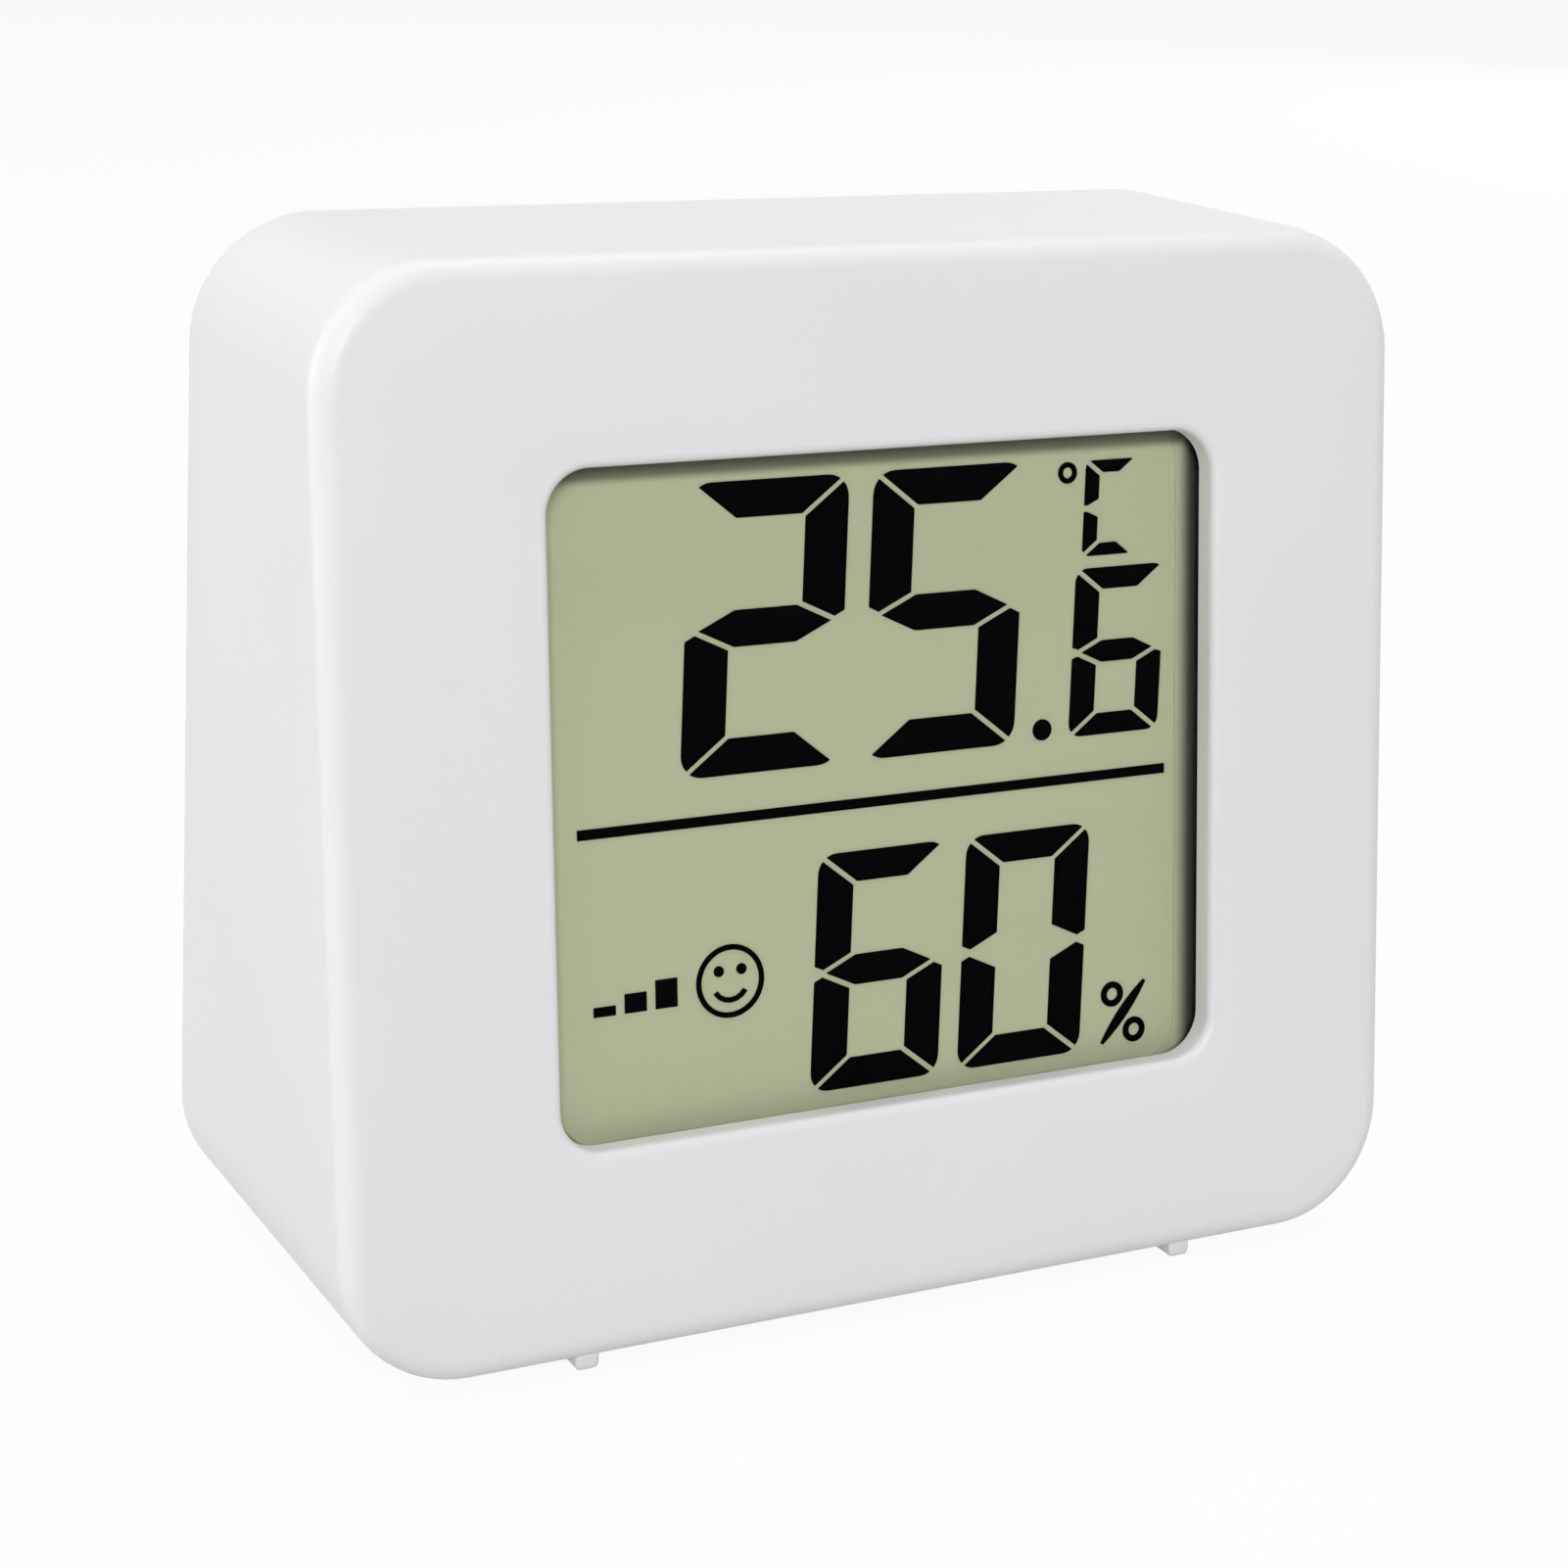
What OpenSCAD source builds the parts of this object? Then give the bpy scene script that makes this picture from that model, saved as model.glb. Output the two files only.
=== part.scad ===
// Desk thermo-hygrometer: a white wedge-shaped case with a seven-segment liquid-crystal display,
// a coin cell behind a hinged door and a unit button at the rear.
// Millimetres, +Z up, display facing -Y, origin at the middle of the footprint on the table.

/* [Case] */
// Width of the case across the front
body_w = 43; // [41.5:0.5:50]
// Height of the case above its runners
body_h = 38.5; // [37.5:0.5:46]
// Depth of the case at its base, before the edges are rounded
base_depth = 20; // [19:0.5:26]
// Lean of the front face back from upright, in degrees
front_lean = 6; // [3:0.5:8]
// Lean of the rear face forward from upright, in degrees
rear_lean = 3.8; // [2:0.2:5]
// Radius of the four corners, seen from the front
corner_r = 4.6; // [3.5:0.1:5.5]
// Radius of the edge round the front face
front_edge_r = 0.9; // [0.5:0.1:1.5]
// Radius of the edge round the rear face
rear_edge_r = 1.2; // [0.6:0.1:1.8]
// Thickness of the front wall, which is the depth of the window
front_wall = 1; // [0.9:0.1:2]
// Thickness of the top, base and side walls
side_wall = 1.8; // [1.6:0.1:2.2]
// Thickness of the rim round the rear cover
rim_wall = 1.2; // [1:0.1:1.4]

/* [Runners] */
// Height of the runners moulded under the base
runner_h = 0.5; // [0.3:0.1:1]
// Width of each runner
runner_w = 0.9; // [0.6:0.1:2]
// Distance of each runner from the middle of the case
runner_x = 12.4; // [8:0.2:15]
// Set-back of the runners from the front edge of the base
runner_front_in = 0.6; // [0.4:0.1:2]
// Set-back of the runners from the rear edge of the base
runner_rear_in = 1.4; // [0.8:0.1:4]

/* [Window] */
// Height of the display window along the front face
window_h = 23.9; // [23.5:0.1:26]
// Rise of the window's middle above the middle of the face
window_rise = 0.2; // [-0.4:0.1:0.6]
// Radius of the window's corners
window_r = 1.6; // [0.8:0.1:2.5]
// Width of the eased edge round the window
window_edge = 0.35; // [0.2:0.05:0.6]

/* [Display stack] */
// Thickness of the front polarising film
film_t = 0.15; // [0.1:0.05:0.25]
// Thickness of each display glass
glass_t = 0.6; // [0.4:0.1:0.8]
// Thickness of the liquid-crystal gap between the glasses
crystal_t = 0.05; // [0.03:0.01:0.1]
// Thickness of the rear film with its reflector
reflector_t = 0.2; // [0.1:0.05:0.3]
// Lap of the glass behind the case at each side of the window
glass_lap_x = 1; // [0.8:0.1:1.4]
// Lap of the glass behind the case above and below the window
glass_lap_z = 2.2; // [2.1:0.1:2.4]
// Lap of both films behind the case
film_lap = 0.35; // [0.2:0.05:0.45]
// Height of the contact ledge that the front glass leaves above and below the rear glass
contact_ledge = 1.65; // [1.6:0.05:1.8]
// Lap of the seal inside the window's side edges
seal_lap = 0.55; // [0:0.05:0.6]
// Set-back of the seal behind the window's upper and lower edges
seal_in = 0.3; // [0:0.05:0.35]
// Wall of the display frame round the glass
frame_wall = 0.7; // [0.5:0.1:0.8]
// Shoulder of the display frame behind the rear film
frame_shoulder = 1; // [0.6:0.1:1.6]
// Height of the elastomer strips, from the glass to the board
zebra_h = 3.4; // [3:0.1:3.8]
// Thickness of the elastomer strips
zebra_w = 1.4; // [1.2:0.1:1.45]
// Set-back of the elastomer strips from each end of the glass
zebra_end = 1; // [0.6:0.1:3]

/* [Digits] */
// Width of the large digits
big_w = 6.3; // [5:0.05:6.6]
// Height of the large digits
big_h = 10.45; // [8:0.05:10.6]
// Step from one large digit to the next
big_pitch = 7.3; // [6.9:0.1:7.8]
// Stroke of the upright segments of the large digits
big_stroke = 1.7; // [1:0.05:2]
// Width of the tenths digit
tenth_w = 3.9; // [3:0.1:4.2]
// Height of the tenths digit
tenth_h = 6.3; // [5:0.05:6.4]
// Stroke of the upright segments of the tenths digit
tenth_stroke = 1.05; // [0.7:0.05:1.2]
// Width of the unit letter
unit_w = 2.2; // [1.8:0.05:2.6]
// Height of the unit letter
unit_h = 3.55; // [3:0.05:3.6]
// Stroke of the upright segments of the unit letter
unit_stroke = 0.6; // [0.4:0.01:0.7]
// Width of the humidity digits
low_w = 5.3; // [4:0.05:5.6]
// Height of the humidity digits
low_h = 8.8; // [7:0.05:9.4]
// Step from one humidity digit to the next
low_pitch = 6.15; // [5.7:0.05:6.6]
// Stroke of the upright segments of the humidity digits
low_stroke = 1.45; // [1:0.05:1.7]
// Level segment stroke as a share of the upright stroke
level_share = 0.77; // [0.6:0.01:1]
// Gap between neighbouring segments
segment_gap = 0.19; // [0.1:0.01:0.3]
// Radius of the digits' outer corners as a share of the upright stroke
digit_round = 0.5; // [0.2:0.02:0.6]
// Set-in of the middle segment's tips as a share of the upright stroke
digit_tip = 0.18; // [0.04:0.02:0.3]
// Depth of the corner cut off an upright segment at half height, as a share of its stroke
digit_notch = 0.23; // [0.2:0.01:0.4]
// Height of that corner above half height, as a share of the upright stroke
digit_notch_rise = 0.2; // [0.16:0.01:0.3]
// Slant of the digits, sideways shift for each unit of height
digit_slant = 0.055; // [0:0.005:0.07]
// Thickness of the line between the two rows
divider_t = 0.37; // [0.2:0.01:0.5]

/* [Board] */
// Thickness of the circuit board
board_t = 1; // [0.8:0.1:1.6]
// Radius of the bosses that carry the board
board_boss_r = 1.8; // [1.6:0.1:2]
// Distance of the board screws above and below the middle of the window
board_screw_rise = 8.5; // [7:0.5:10]
// Radius of the chip's resin drop
resin_r = 4.2; // [3:0.1:5]
// Height of the chip's resin drop
resin_h = 1.3; // [0.8:0.1:2]
// Radius of the quartz can
quartz_r = 1; // [0.7:0.1:1.2]
// Length of the quartz can
quartz_l = 6; // [5:0.2:7]

/* [Sensors] */
// Width of the humidity plate
humidity_w = 8; // [6:0.5:9]
// Height of the humidity plate
humidity_h = 4.6; // [4:0.2:5]
// Thickness of the humidity plate
humidity_t = 0.65; // [0.4:0.05:1]
// Stand-off of both sensors from the board
sensor_rise = 2; // [1.4:0.1:2.4]
// Radius of the thermistor bead
bead_r = 1.1; // [0.8:0.1:1.3]

/* [Coin cell] */
// Diameter of the coin cell
cell_d = 20; // [18:0.5:21]
// Thickness of the coin cell
cell_t = 3.2; // [2.5:0.1:3.4]
// Thickness of the contact strips
strip_t = 0.25; // [0.2:0.05:0.3]
// Width of the contact strips
strip_w = 3; // [2:0.1:4]

/* [Rear cover] */
// Thickness of the rear cover
cover_t = 2.4; // [2.3:0.1:3]
// Wall of the cell well
well_wall = 1; // [0.8:0.1:1.4]
// Floor of the cell well
well_floor = 0.9; // [0.7:0.1:1.2]
// Thickness of the cell door
door_t = 1.4; // [1.2:0.1:1.5]
// Lap of the door past the well at its sides
door_lap_x = 2; // [1.6:0.1:2.4]
// Lap of the door past the well at its top
door_lap_top = 1.2; // [0.8:0.1:1.4]
// Radius of the door's hinge pins
pin_r = 0.6; // [0.4:0.05:0.7]
// Length of the door's hinge pins
pin_l = 1.2; // [0.8:0.1:1.6]
// Depth of the hinge axis below the cover's outer face, which is the knuckle's radius
hinge_in = 1.15; // [1.1:0.05:1.3]
// Strip of cover left below the door
door_margin = 0.85; // [0.6:0.05:1.2]
// Radius of the hanging hole
key_r = 2.3; // [2:0.1:2.5]
// Half width of the hanging slot
key_slot_r = 1.25; // [1:0.05:1.35]
// Distance of the hanging hole below the top of the cover
key_in = 6.2; // [6:0.1:7]
// Number of vent slots each side of the hanging hole
vent_count = 4; // [2:1:4]
// Width of each vent slot
vent_w = 1.1; // [0.6:0.1:1.4]
// Height of each vent slot
vent_h = 5; // [3:0.2:5.6]
// Step from one vent slot to the next
vent_pitch = 2.5; // [2:0.1:2.7]

/* [Button] */
// Radius of the unit button
button_r = 2; // [1.5:0.1:2.2]
// Height of the button above the cover
button_proud = 0.4; // [0.2:0.05:0.8]
// Travel of the button
button_travel = 0.4; // [0.25:0.05:0.45]
// Height of the button's axis along the rear face
button_rise = 19; // [16:0.5:24]
// Width of the press switch
switch_w = 4.4; // [4:0.1:4.5]
// Height of the press switch body
switch_h = 1.6; // [1.4:0.1:2]
// Height of the switch plunger's top above the board
plunger_h = 4.2; // [3.6:0.1:4.8]
// Radius of the switch plunger
plunger_r = 1; // [0.8:0.05:1.1]

/* [Fasteners] */
// Shank radius of the board screws
board_screw_r = 0.75; // [0.6:0.05:0.9]
// Length of the board screws below the head
board_screw_l = 4; // [3:0.2:4.6]
// Shank radius of the cover screws
cover_screw_r = 0.95; // [0.8:0.05:1]
// Length of the cover screws below the head
cover_screw_l = 6; // [5:0.5:8]
// Radius of the bosses that take the cover screws
cover_boss_r = 1.9; // [1.8:0.05:2.1]
// Distance of the upper cover screws from the top of the case
cover_screw_top = 4.6; // [4.4:0.1:5.4]
// Distance of the lower cover screws from the base of the case
cover_screw_low = 5.6; // [5.2:0.1:6.4]

/* [Fits] */
// Gap round the rear cover
cover_gap = 0.1; // [0.05:0.05:0.2]
// Gap round the door
door_gap = 0.15; // [0.1:0.05:0.25]
// Radial clearance of pins and screw shanks
pin_gap = 0.05; // [0.03:0.01:0.08]
// Radial clearance of the button and the plunger
button_gap = 0.1; // [0.05:0.05:0.15]
// Gap round the glass and the elastomer strips
glass_gap = 0.1; // [0.05:0.05:0.2]
// Gap between parts that pass each other inside the case
inner_gap = 0.3; // [0.2:0.05:0.4]
// Smallest gap that parts seated on each other keep
seat_gap = 0.05; // [0.03:0.01:0.1]

/* [Hidden] */

$fn = 48;
sides = [-1, 1];

// Reach of a cutting block, well past the case
reach = 2 * (body_w + body_h + base_depth);
// Overshoot of a cut past the face that it opens
cut = 0.5;

// Facets of the rounded case edges
corner_fn = 32;
edge_fn = 16;
// Facets of the resin drop's ball
ball_fn = 160;
// How far the rounded form stands out of the six flat faces that trim it
face_trim = 0.03;
// What the rounded edges take off the base, so that the finished case is centred on the origin
front_trim = edge_trim(front_edge_r, front_lean);
rear_trim = edge_trim(rear_edge_r, rear_lean);
front_y = -(base_depth + front_trim - rear_trim) / 2;
rear_y = front_y + base_depth;
wedge = front_lean + rear_lean;

// Across the front: what stands between the side of the case and the window
boss_wall_gap = 0.65;
side_stack = side_wall + boss_wall_gap + 2 * board_boss_r + inner_gap + frame_wall + glass_gap + glass_lap_x;
window_w = body_w - 2 * side_stack;
window_mid = body_h / cos(front_lean) / 2 + window_rise;

// Depths behind the front face
glass_y = front_wall + film_t;
crystal_y = glass_y + glass_t;
rear_glass_y = crystal_y + crystal_t;
reflector_y = rear_glass_y + glass_t;
shoulder_y = reflector_y + reflector_t;
board_y = crystal_y + zebra_h;
board_back = board_y + board_t;

// Display sizes
glass_w = window_w + 2 * glass_lap_x;
glass_h = window_h + 2 * glass_lap_z;
rear_glass_h = glass_h - 2 * contact_ledge;
film_w = window_w + 2 * film_lap;
film_h = window_h + 2 * film_lap;
frame_w = glass_w + 2 * (glass_gap + frame_wall);
frame_h = glass_h + 2 * (glass_gap + frame_wall);
zebra_l = glass_w - 2 * zebra_end;
zebra_mid = rear_glass_h / 2 + glass_gap + zebra_w / 2;

// Display layout, measured from the window's edges
upper_row = 12.5;
lower_row = 0.38;
divider_rise = 10.93;
divider_left = 1.5;
divider_right = 1;
right_margin = 1.33;
tenth_x = window_w / 2 - right_margin - tenth_w;
tenth_space = 2.38;
big_x = tenth_x - tenth_space - big_w;
dot_r = 0.4;
dot_in = 1.24;
unit_in = 0.59;
unit_x = tenth_x + unit_in;
unit_space = 0.46;
degree_in = 0.62;
low_space = 4.78;
low_x = window_w / 2 - low_space - low_w;
percent_in = 2.8;
percent_rise = 1.65;
percent_ring_r = 0.49;
percent_stroke = 0.25;
percent_offset = [0.49, 0.75];
percent_slash = [0.95, 1.14];
slash_half = 0.21;
slash_tip = 0.06;
ring_stroke = 0.2;
face_in = 7.32;
face_rise = 5;
face_r = 1.35;
eye_r = 0.2;
eye_offset = [0.45, 0.4];
mouth_r = 0.8;
mouth_low = 212;
mouth_high = 328;
level_in = 2.4;
level_rise = 4.35;
level_bar = [0.85, 0.35];
level_pitch = 1.2;
level_count = 3;
arc_steps = 6;

// Board
board_wall_gap = 0.5;
board_w = body_w - 2 * (side_wall + board_wall_gap);
board_boss_x = body_w / 2 - side_wall - boss_wall_gap - board_boss_r;
board_head_r = 1.4;
board_head_h = 0.9;
resin_x = 2;
resin_drop = 8.5;
resin_at = [resin_x, window_mid - resin_drop];
left_parts_in = 7.7;
left_parts_x = left_parts_in - board_w / 2;
quartz_drop = 11;
quartz_at = [left_parts_x, window_mid - quartz_drop];
quartz_lead_r = 0.15;
quartz_lead_l = 1.2;
capacitor = [1.6, 0.8, 0.8];
resistor = [1.6, 0.45, 0.8];
chip_pitch = 2.4;
chip_count = 4;
capacitor_lift = 2;
capacitor_at = [left_parts_x, window_mid + capacitor_lift];
resistor_drop = 7;
resistor_space = 0.4;
resistor_x = cell_d / 2 + seat_gap + strip_t + resistor_space + resistor.x / 2;
resistor_at = [resistor_x, window_mid - resistor_drop];

// Rear cover, measured along the rear face from the base
cover_edge = rim_wall + cover_gap;
cover_half = body_w / 2 - cover_edge;
cover_low = cover_edge / cos(rear_lean);
cover_top = (body_h - cover_edge) / cos(rear_lean);
cover_boss_x = body_w / 2 - side_wall - inner_gap - cover_boss_r;
cover_screw_rise = [cover_screw_low / cos(rear_lean), (body_h - cover_screw_top) / cos(rear_lean)];
cover_head_r = 1.75;
cover_head_h = 1.2;
cover_head_in = 0.15;
screw_slot = [2, 0.5];

// Cell door and well
cell_r = cell_d / 2;
well_r = cell_r + inner_gap;
hinge_rise = cover_low + door_margin + hinge_in + door_gap;
cell_rise = hinge_rise + hinge_in + door_gap + inner_gap + well_r;
door_top = cell_rise + well_r + door_lap_top;
door_w = 2 * (well_r + door_lap_x);
recess_in = door_t + door_gap;
cell_in = recess_in + 2 * seat_gap + inner_gap;
contact_h = 0.6;
well_in = cell_in + cell_t + contact_h;
hinge_rib_t = 0.9;
hinge_rib_side = 0.7;
hinge_rib_h = 2.6;
notch_r = 4;
notch_in = 0.8;
notch_h = 1.1;
pad_r = 4.2;
pad_wall = 1;
pad_in = cell_in - seat_gap - inner_gap / 2;
grip_count = 3;
grip_h = 0.5;
grip_pitch = 1.1;
can_t = 0.25;
gasket_t = 0.6;
cap_step = 0.3;
leaf_half = 6.5;
leaf_bend = 3;
leaf_top = 1.2;

// Vents
vent_space = 2.9;
vent_first = key_r + vent_space;
vent_lift = 0.8;
vent_mid = cover_top - key_in + vent_lift;

// Button and switch
button_in = 3.3;
button_x = cover_half - button_in;
flange_w = 0.6;
flange_r = button_r + flange_w;
flange_t = 0.8;
stem_r = 1.2;
button_ease = 0.25;
plunger_y = board_back + plunger_h;
plate_t = 0.25;
plunger_flange_t = 0.35;
plunger_flange_r = plunger_r + plunger_flange_t;
switch_floor = switch_h - button_gap - plunger_flange_t - button_travel - seat_gap;

// Sensors behind the vents
sensor_x = vent_first + (vent_count - 1) * vent_pitch / 2;
sensor_v = axis_v(vent_mid, board_back + sensor_rise);
lead_r = 0.22;
lead_pitch = 1.3;
humidity_lead_pitch = 5;

// Along the rear face's normal from height w: the local depth, and the height on the front face,
// at which it meets a plane set a given depth behind the front face
function axis_y(w, depth) =
    (depth - (base_depth - w * sin(rear_lean)) * cos(front_lean) + w * cos(rear_lean) * sin(front_lean))
    / cos(wedge);
function axis_v(w, depth) =
    let (y = axis_y(w, depth))
    (base_depth + y * cos(rear_lean) - w * sin(rear_lean)) * sin(front_lean)
    + (y * sin(rear_lean) + w * cos(rear_lean)) * cos(front_lean);

// Local frame of the front face: x right, y into the case, z up the face from its lower edge
module on_front() {
    translate([0, front_y, runner_h]) rotate([-front_lean, 0, 0]) children();
}

// Local frame of the rear face: x right, y out of the case, z up the face from its lower edge
module on_rear() {
    translate([0, rear_y, runner_h]) rotate([rear_lean, 0, 0]) children();
}

// Everything more than a depth behind the front face
module behind_front(depth) {
    on_front() translate([-reach, depth, -reach]) cube(2 * reach);
}

// Everything more than a depth ahead of the rear face
module ahead_of_rear(depth) {
    on_rear() translate([-reach, -depth - 2 * reach, -reach]) cube(2 * reach);
}

// Everything less than a depth ahead of the rear face
module near_rear(depth) {
    on_rear() translate([-reach, -depth, -reach]) cube(2 * reach);
}

module rounded_rect(w, h, r) {
    square([w - 2 * r, h], center = true);
    square([w, h - 2 * r], center = true);
    for (x = sides, y = sides) translate([x * (w / 2 - r), y * (h / 2 - r)]) circle(r);
}

// A flat outline drawn in x and z, with its thickness along +y
module sheet_y(t) {
    translate([0, t, 0]) rotate([90, 0, 0]) linear_extrude(t) children();
}

module plate(w, h, t, r) {
    sheet_y(t) rounded_rect(w, h, r);
}

// A block drawn in x and z about its middle, with its thickness along +y
module slab(w, h, t) {
    translate([-w / 2, 0, -h / 2]) cube([w, t, h]);
}

// A round post along +y
module post(r, l) {
    rotate([-90, 0, 0]) cylinder(r = r, h = l);
}

module pipe(r, bore, l) {
    difference() {
        post(r, l);
        translate([0, -cut, 0]) post(bore, l + 2 * cut);
    }
}

// The case outline, set in from the outside and carried straight through from front to rear
module case_prism(inset) {
    translate([0, -reach, runner_h + body_h / 2])
        plate(body_w - 2 * inset, body_h - 2 * inset, 2 * reach, corner_r - inset);
}

// Distance that a rounded lower edge keeps from the sharp edge of the base
function edge_trim(r, lean) =
    (r - face_trim) * (tan(lean) + 1 / cos(lean)) - r * cos(acos(1 - face_trim / r) - lean);

// Heights of a corner ring's middle up a leaning face, where it just stands out of the base or the top
function ring_low(r, lean) = (r - face_trim) * (1 + sin(lean)) / cos(lean) + corner_r - r;
function ring_high(r, lean) = (body_h - (r - face_trim) * (1 - sin(lean))) / cos(lean) - corner_r + r;

module corner_rings(r, lean, y) {
    for (x = sides, z = [ring_low(r, lean), ring_high(r, lean)])
        translate([x * (body_w / 2 - corner_r + face_trim), y, z])
            rotate([90, 0, 0])
                rotate_extrude($fn = corner_fn) translate([corner_r - r, 0]) circle(r, $fn = edge_fn);
}

// The solid wedge: rounded corners and edges between six flat faces
module case_form() {
    intersection() {
        hull() {
            on_front() corner_rings(front_edge_r, front_lean, front_edge_r - face_trim);
            on_rear() corner_rings(rear_edge_r, rear_lean, face_trim - rear_edge_r);
        }
        behind_front(0);
        ahead_of_rear(0);
        translate([-body_w / 2, -reach, runner_h]) cube([body_w, 2 * reach, body_h]);
    }
}

module window_slice(y, grow) {
    translate([0, y, 0]) plate(window_w + 2 * grow, window_h + 2 * grow, seat_gap, window_r + grow);
}

// The window, with an eased edge whose slope runs on a little way into the opening
module window_cut() {
    on_window(0) {
        translate([0, -cut, 0]) plate(window_w, window_h, front_wall + 2 * cut, window_r);
        hull() {
            window_slice(-window_edge, 2 * window_edge);
            window_slice(2 * window_edge, -window_edge);
        }
    }
}

module at_board_screws() {
    for (x = sides, z = sides)
        translate([x * board_boss_x, 0, window_mid + z * board_screw_rise]) children();
}

module at_cover_screws() {
    for (x = sides, z = cover_screw_rise) translate([x * cover_boss_x, 0, z]) children();
}

module runners() {
    l = base_depth - runner_front_in - runner_rear_in;
    for (x = sides)
        translate([x * runner_x - runner_w / 2, front_y + runner_front_in, 0])
            cube([runner_w, l, runner_h + side_wall / 2]);
}

// Case: the leaning front, the four walls and the runners in one moulding, with its screw bosses
module front_housing() {
    board_pilot_l = board_screw_l - board_t + cut;
    color("white") {
        difference() {
            union() {
                case_form();
                runners();
            }
            intersection() {
                case_prism(side_wall);
                behind_front(front_wall);
                ahead_of_rear(cover_t);
            }
            intersection() {
                case_prism(rim_wall);
                near_rear(cover_t);
            }
            window_cut();
        }
        difference() {
            on_front() at_board_screws() translate([0, front_wall / 2, 0])
                post(board_boss_r, board_y - front_wall / 2);
            on_front() at_board_screws()
                translate([0, board_y - board_pilot_l, 0]) post(board_screw_r + pin_gap, board_pilot_l + cut);
        }
        difference() {
            intersection() {
                on_rear() at_cover_screws() translate([0, -base_depth, 0])
                    post(cover_boss_r, base_depth - cover_t);
                behind_front(front_wall / 2);
            }
            on_rear() at_cover_screws() translate([0, -cover_t - cover_screw_l, 0])
                post(cover_screw_r + pin_gap, cover_screw_l + cut);
        }
    }
}

module vent_slot() {
    translate([0, -cover_t - cut, 0]) {
        slab(vent_w, vent_h - vent_w, cover_t + 2 * cut);
        for (z = sides) translate([0, 0, z * (vent_h - vent_w) / 2]) post(vent_w / 2, cover_t + 2 * cut);
    }
}

module key_hole() {
    slot_l = key_in - key_r - key_slot_r;
    translate([0, -cover_t - cut, cover_top - key_in]) {
        post(key_r, cover_t + 2 * cut);
        translate([0, 0, slot_l / 2]) slab(2 * key_slot_r, slot_l, cover_t + 2 * cut);
        translate([0, 0, slot_l]) post(key_slot_r, cover_t + 2 * cut);
    }
}

// A bar across the door, along x, on the hinge axis
module hinge_bar(r, l) {
    translate([-l / 2, -hinge_in, hinge_rise]) rotate([0, 90, 0]) cylinder(r = r, h = l);
}

module door_recess() {
    w = door_w + 2 * door_gap;
    low = hinge_rise - hinge_in - door_gap;
    top = door_top + door_gap;
    translate([-w / 2, -hinge_in, low]) cube([w, hinge_in + cut, top - low]);
    translate([-w / 2, -recess_in, hinge_rise]) cube([w, recess_in + cut, top - hinge_rise]);
    hinge_bar(hinge_in + door_gap, w);
    hinge_bar(pin_r + pin_gap, door_w + 2 * (pin_l + door_gap));
    intersection() {
        translate([0, -notch_in, top + notch_h - notch_r]) post(notch_r, notch_in + cut);
        translate([-notch_r, -notch_in, top - cut]) cube([2 * notch_r, notch_in + cut, notch_r]);
    }
}

// Openings of the well for the feet of the two contact strips
module contact_slots() {
    h = strip_w + 2 * inner_gap;
    positive_x = cell_r + seat_gap + strip_t;
    translate([positive_x - strip_t - inner_gap, -well_in - well_floor - cut, cell_rise - h / 2])
        cube([strip_t + 2 * inner_gap, well_in + well_floor + cut - recess_in - 2 * seat_gap, h]);
    translate([-leaf_half - strip_t - inner_gap, -well_in - well_floor - cut, cell_rise - h / 2])
        cube([strip_t + inner_gap + seat_gap, well_floor + 2 * cut, h]);
}

// Rear cover: the flat rear face with the cell well, the door's recess, vents, hanging hole and button bore
module rear_cover() {
    rib_w = door_w + 2 * (door_gap + pin_l + hinge_rib_side);
    color("white") difference() {
        union() {
            intersection() {
                case_prism(cover_edge);
                near_rear(cover_t);
                ahead_of_rear(0);
            }
            on_rear() {
                translate([0, -well_in - well_floor, cell_rise])
                    post(well_r + well_wall, well_in + well_floor - cover_t / 2);
                translate([0, -cover_t - hinge_rib_t, hinge_rise])
                    slab(rib_w, hinge_rib_h, hinge_rib_t + cover_t / 2);
            }
        }
        on_rear() {
            translate([0, -well_in, cell_rise]) post(well_r, well_in + cut);
            contact_slots();
            door_recess();
            key_hole();
            for (side = sides, i = [0:vent_count - 1])
                translate([side * (vent_first + i * vent_pitch), 0, vent_mid]) vent_slot();
            translate([button_x, -cover_t - cut, button_rise]) post(button_r + button_gap, cover_t + 2 * cut);
            at_cover_screws() {
                translate([0, -cover_t - cut, 0]) post(cover_screw_r + 2 * pin_gap, cover_t + 2 * cut);
                translate([0, -cover_head_h - cover_head_in, 0])
                    post(cover_head_r + button_gap, cover_head_h + cover_head_in + cut);
            }
        }
    }
}

// Cell door: a flat lid with a rounded lower edge on two hinge pins, grip lines and a pad over the cell
module battery_door() {
    color("white") on_rear() difference() {
        union() {
            translate([-door_w / 2, -door_t, hinge_rise]) cube([door_w, door_t, door_top - hinge_rise]);
            hinge_bar(hinge_in, door_w);
            hinge_bar(pin_r, door_w + 2 * pin_l);
            translate([0, -pad_in, cell_rise]) pipe(pad_r, pad_r - pad_wall, pad_in - door_t / 2);
        }
        for (i = [0:grip_count - 1])
            translate([0, -grip_h / 2, door_top - grip_h / 2 - (i + 0.5) * grip_pitch])
                slab(2 * notch_r, grip_h, grip_h);
    }
}

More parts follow.
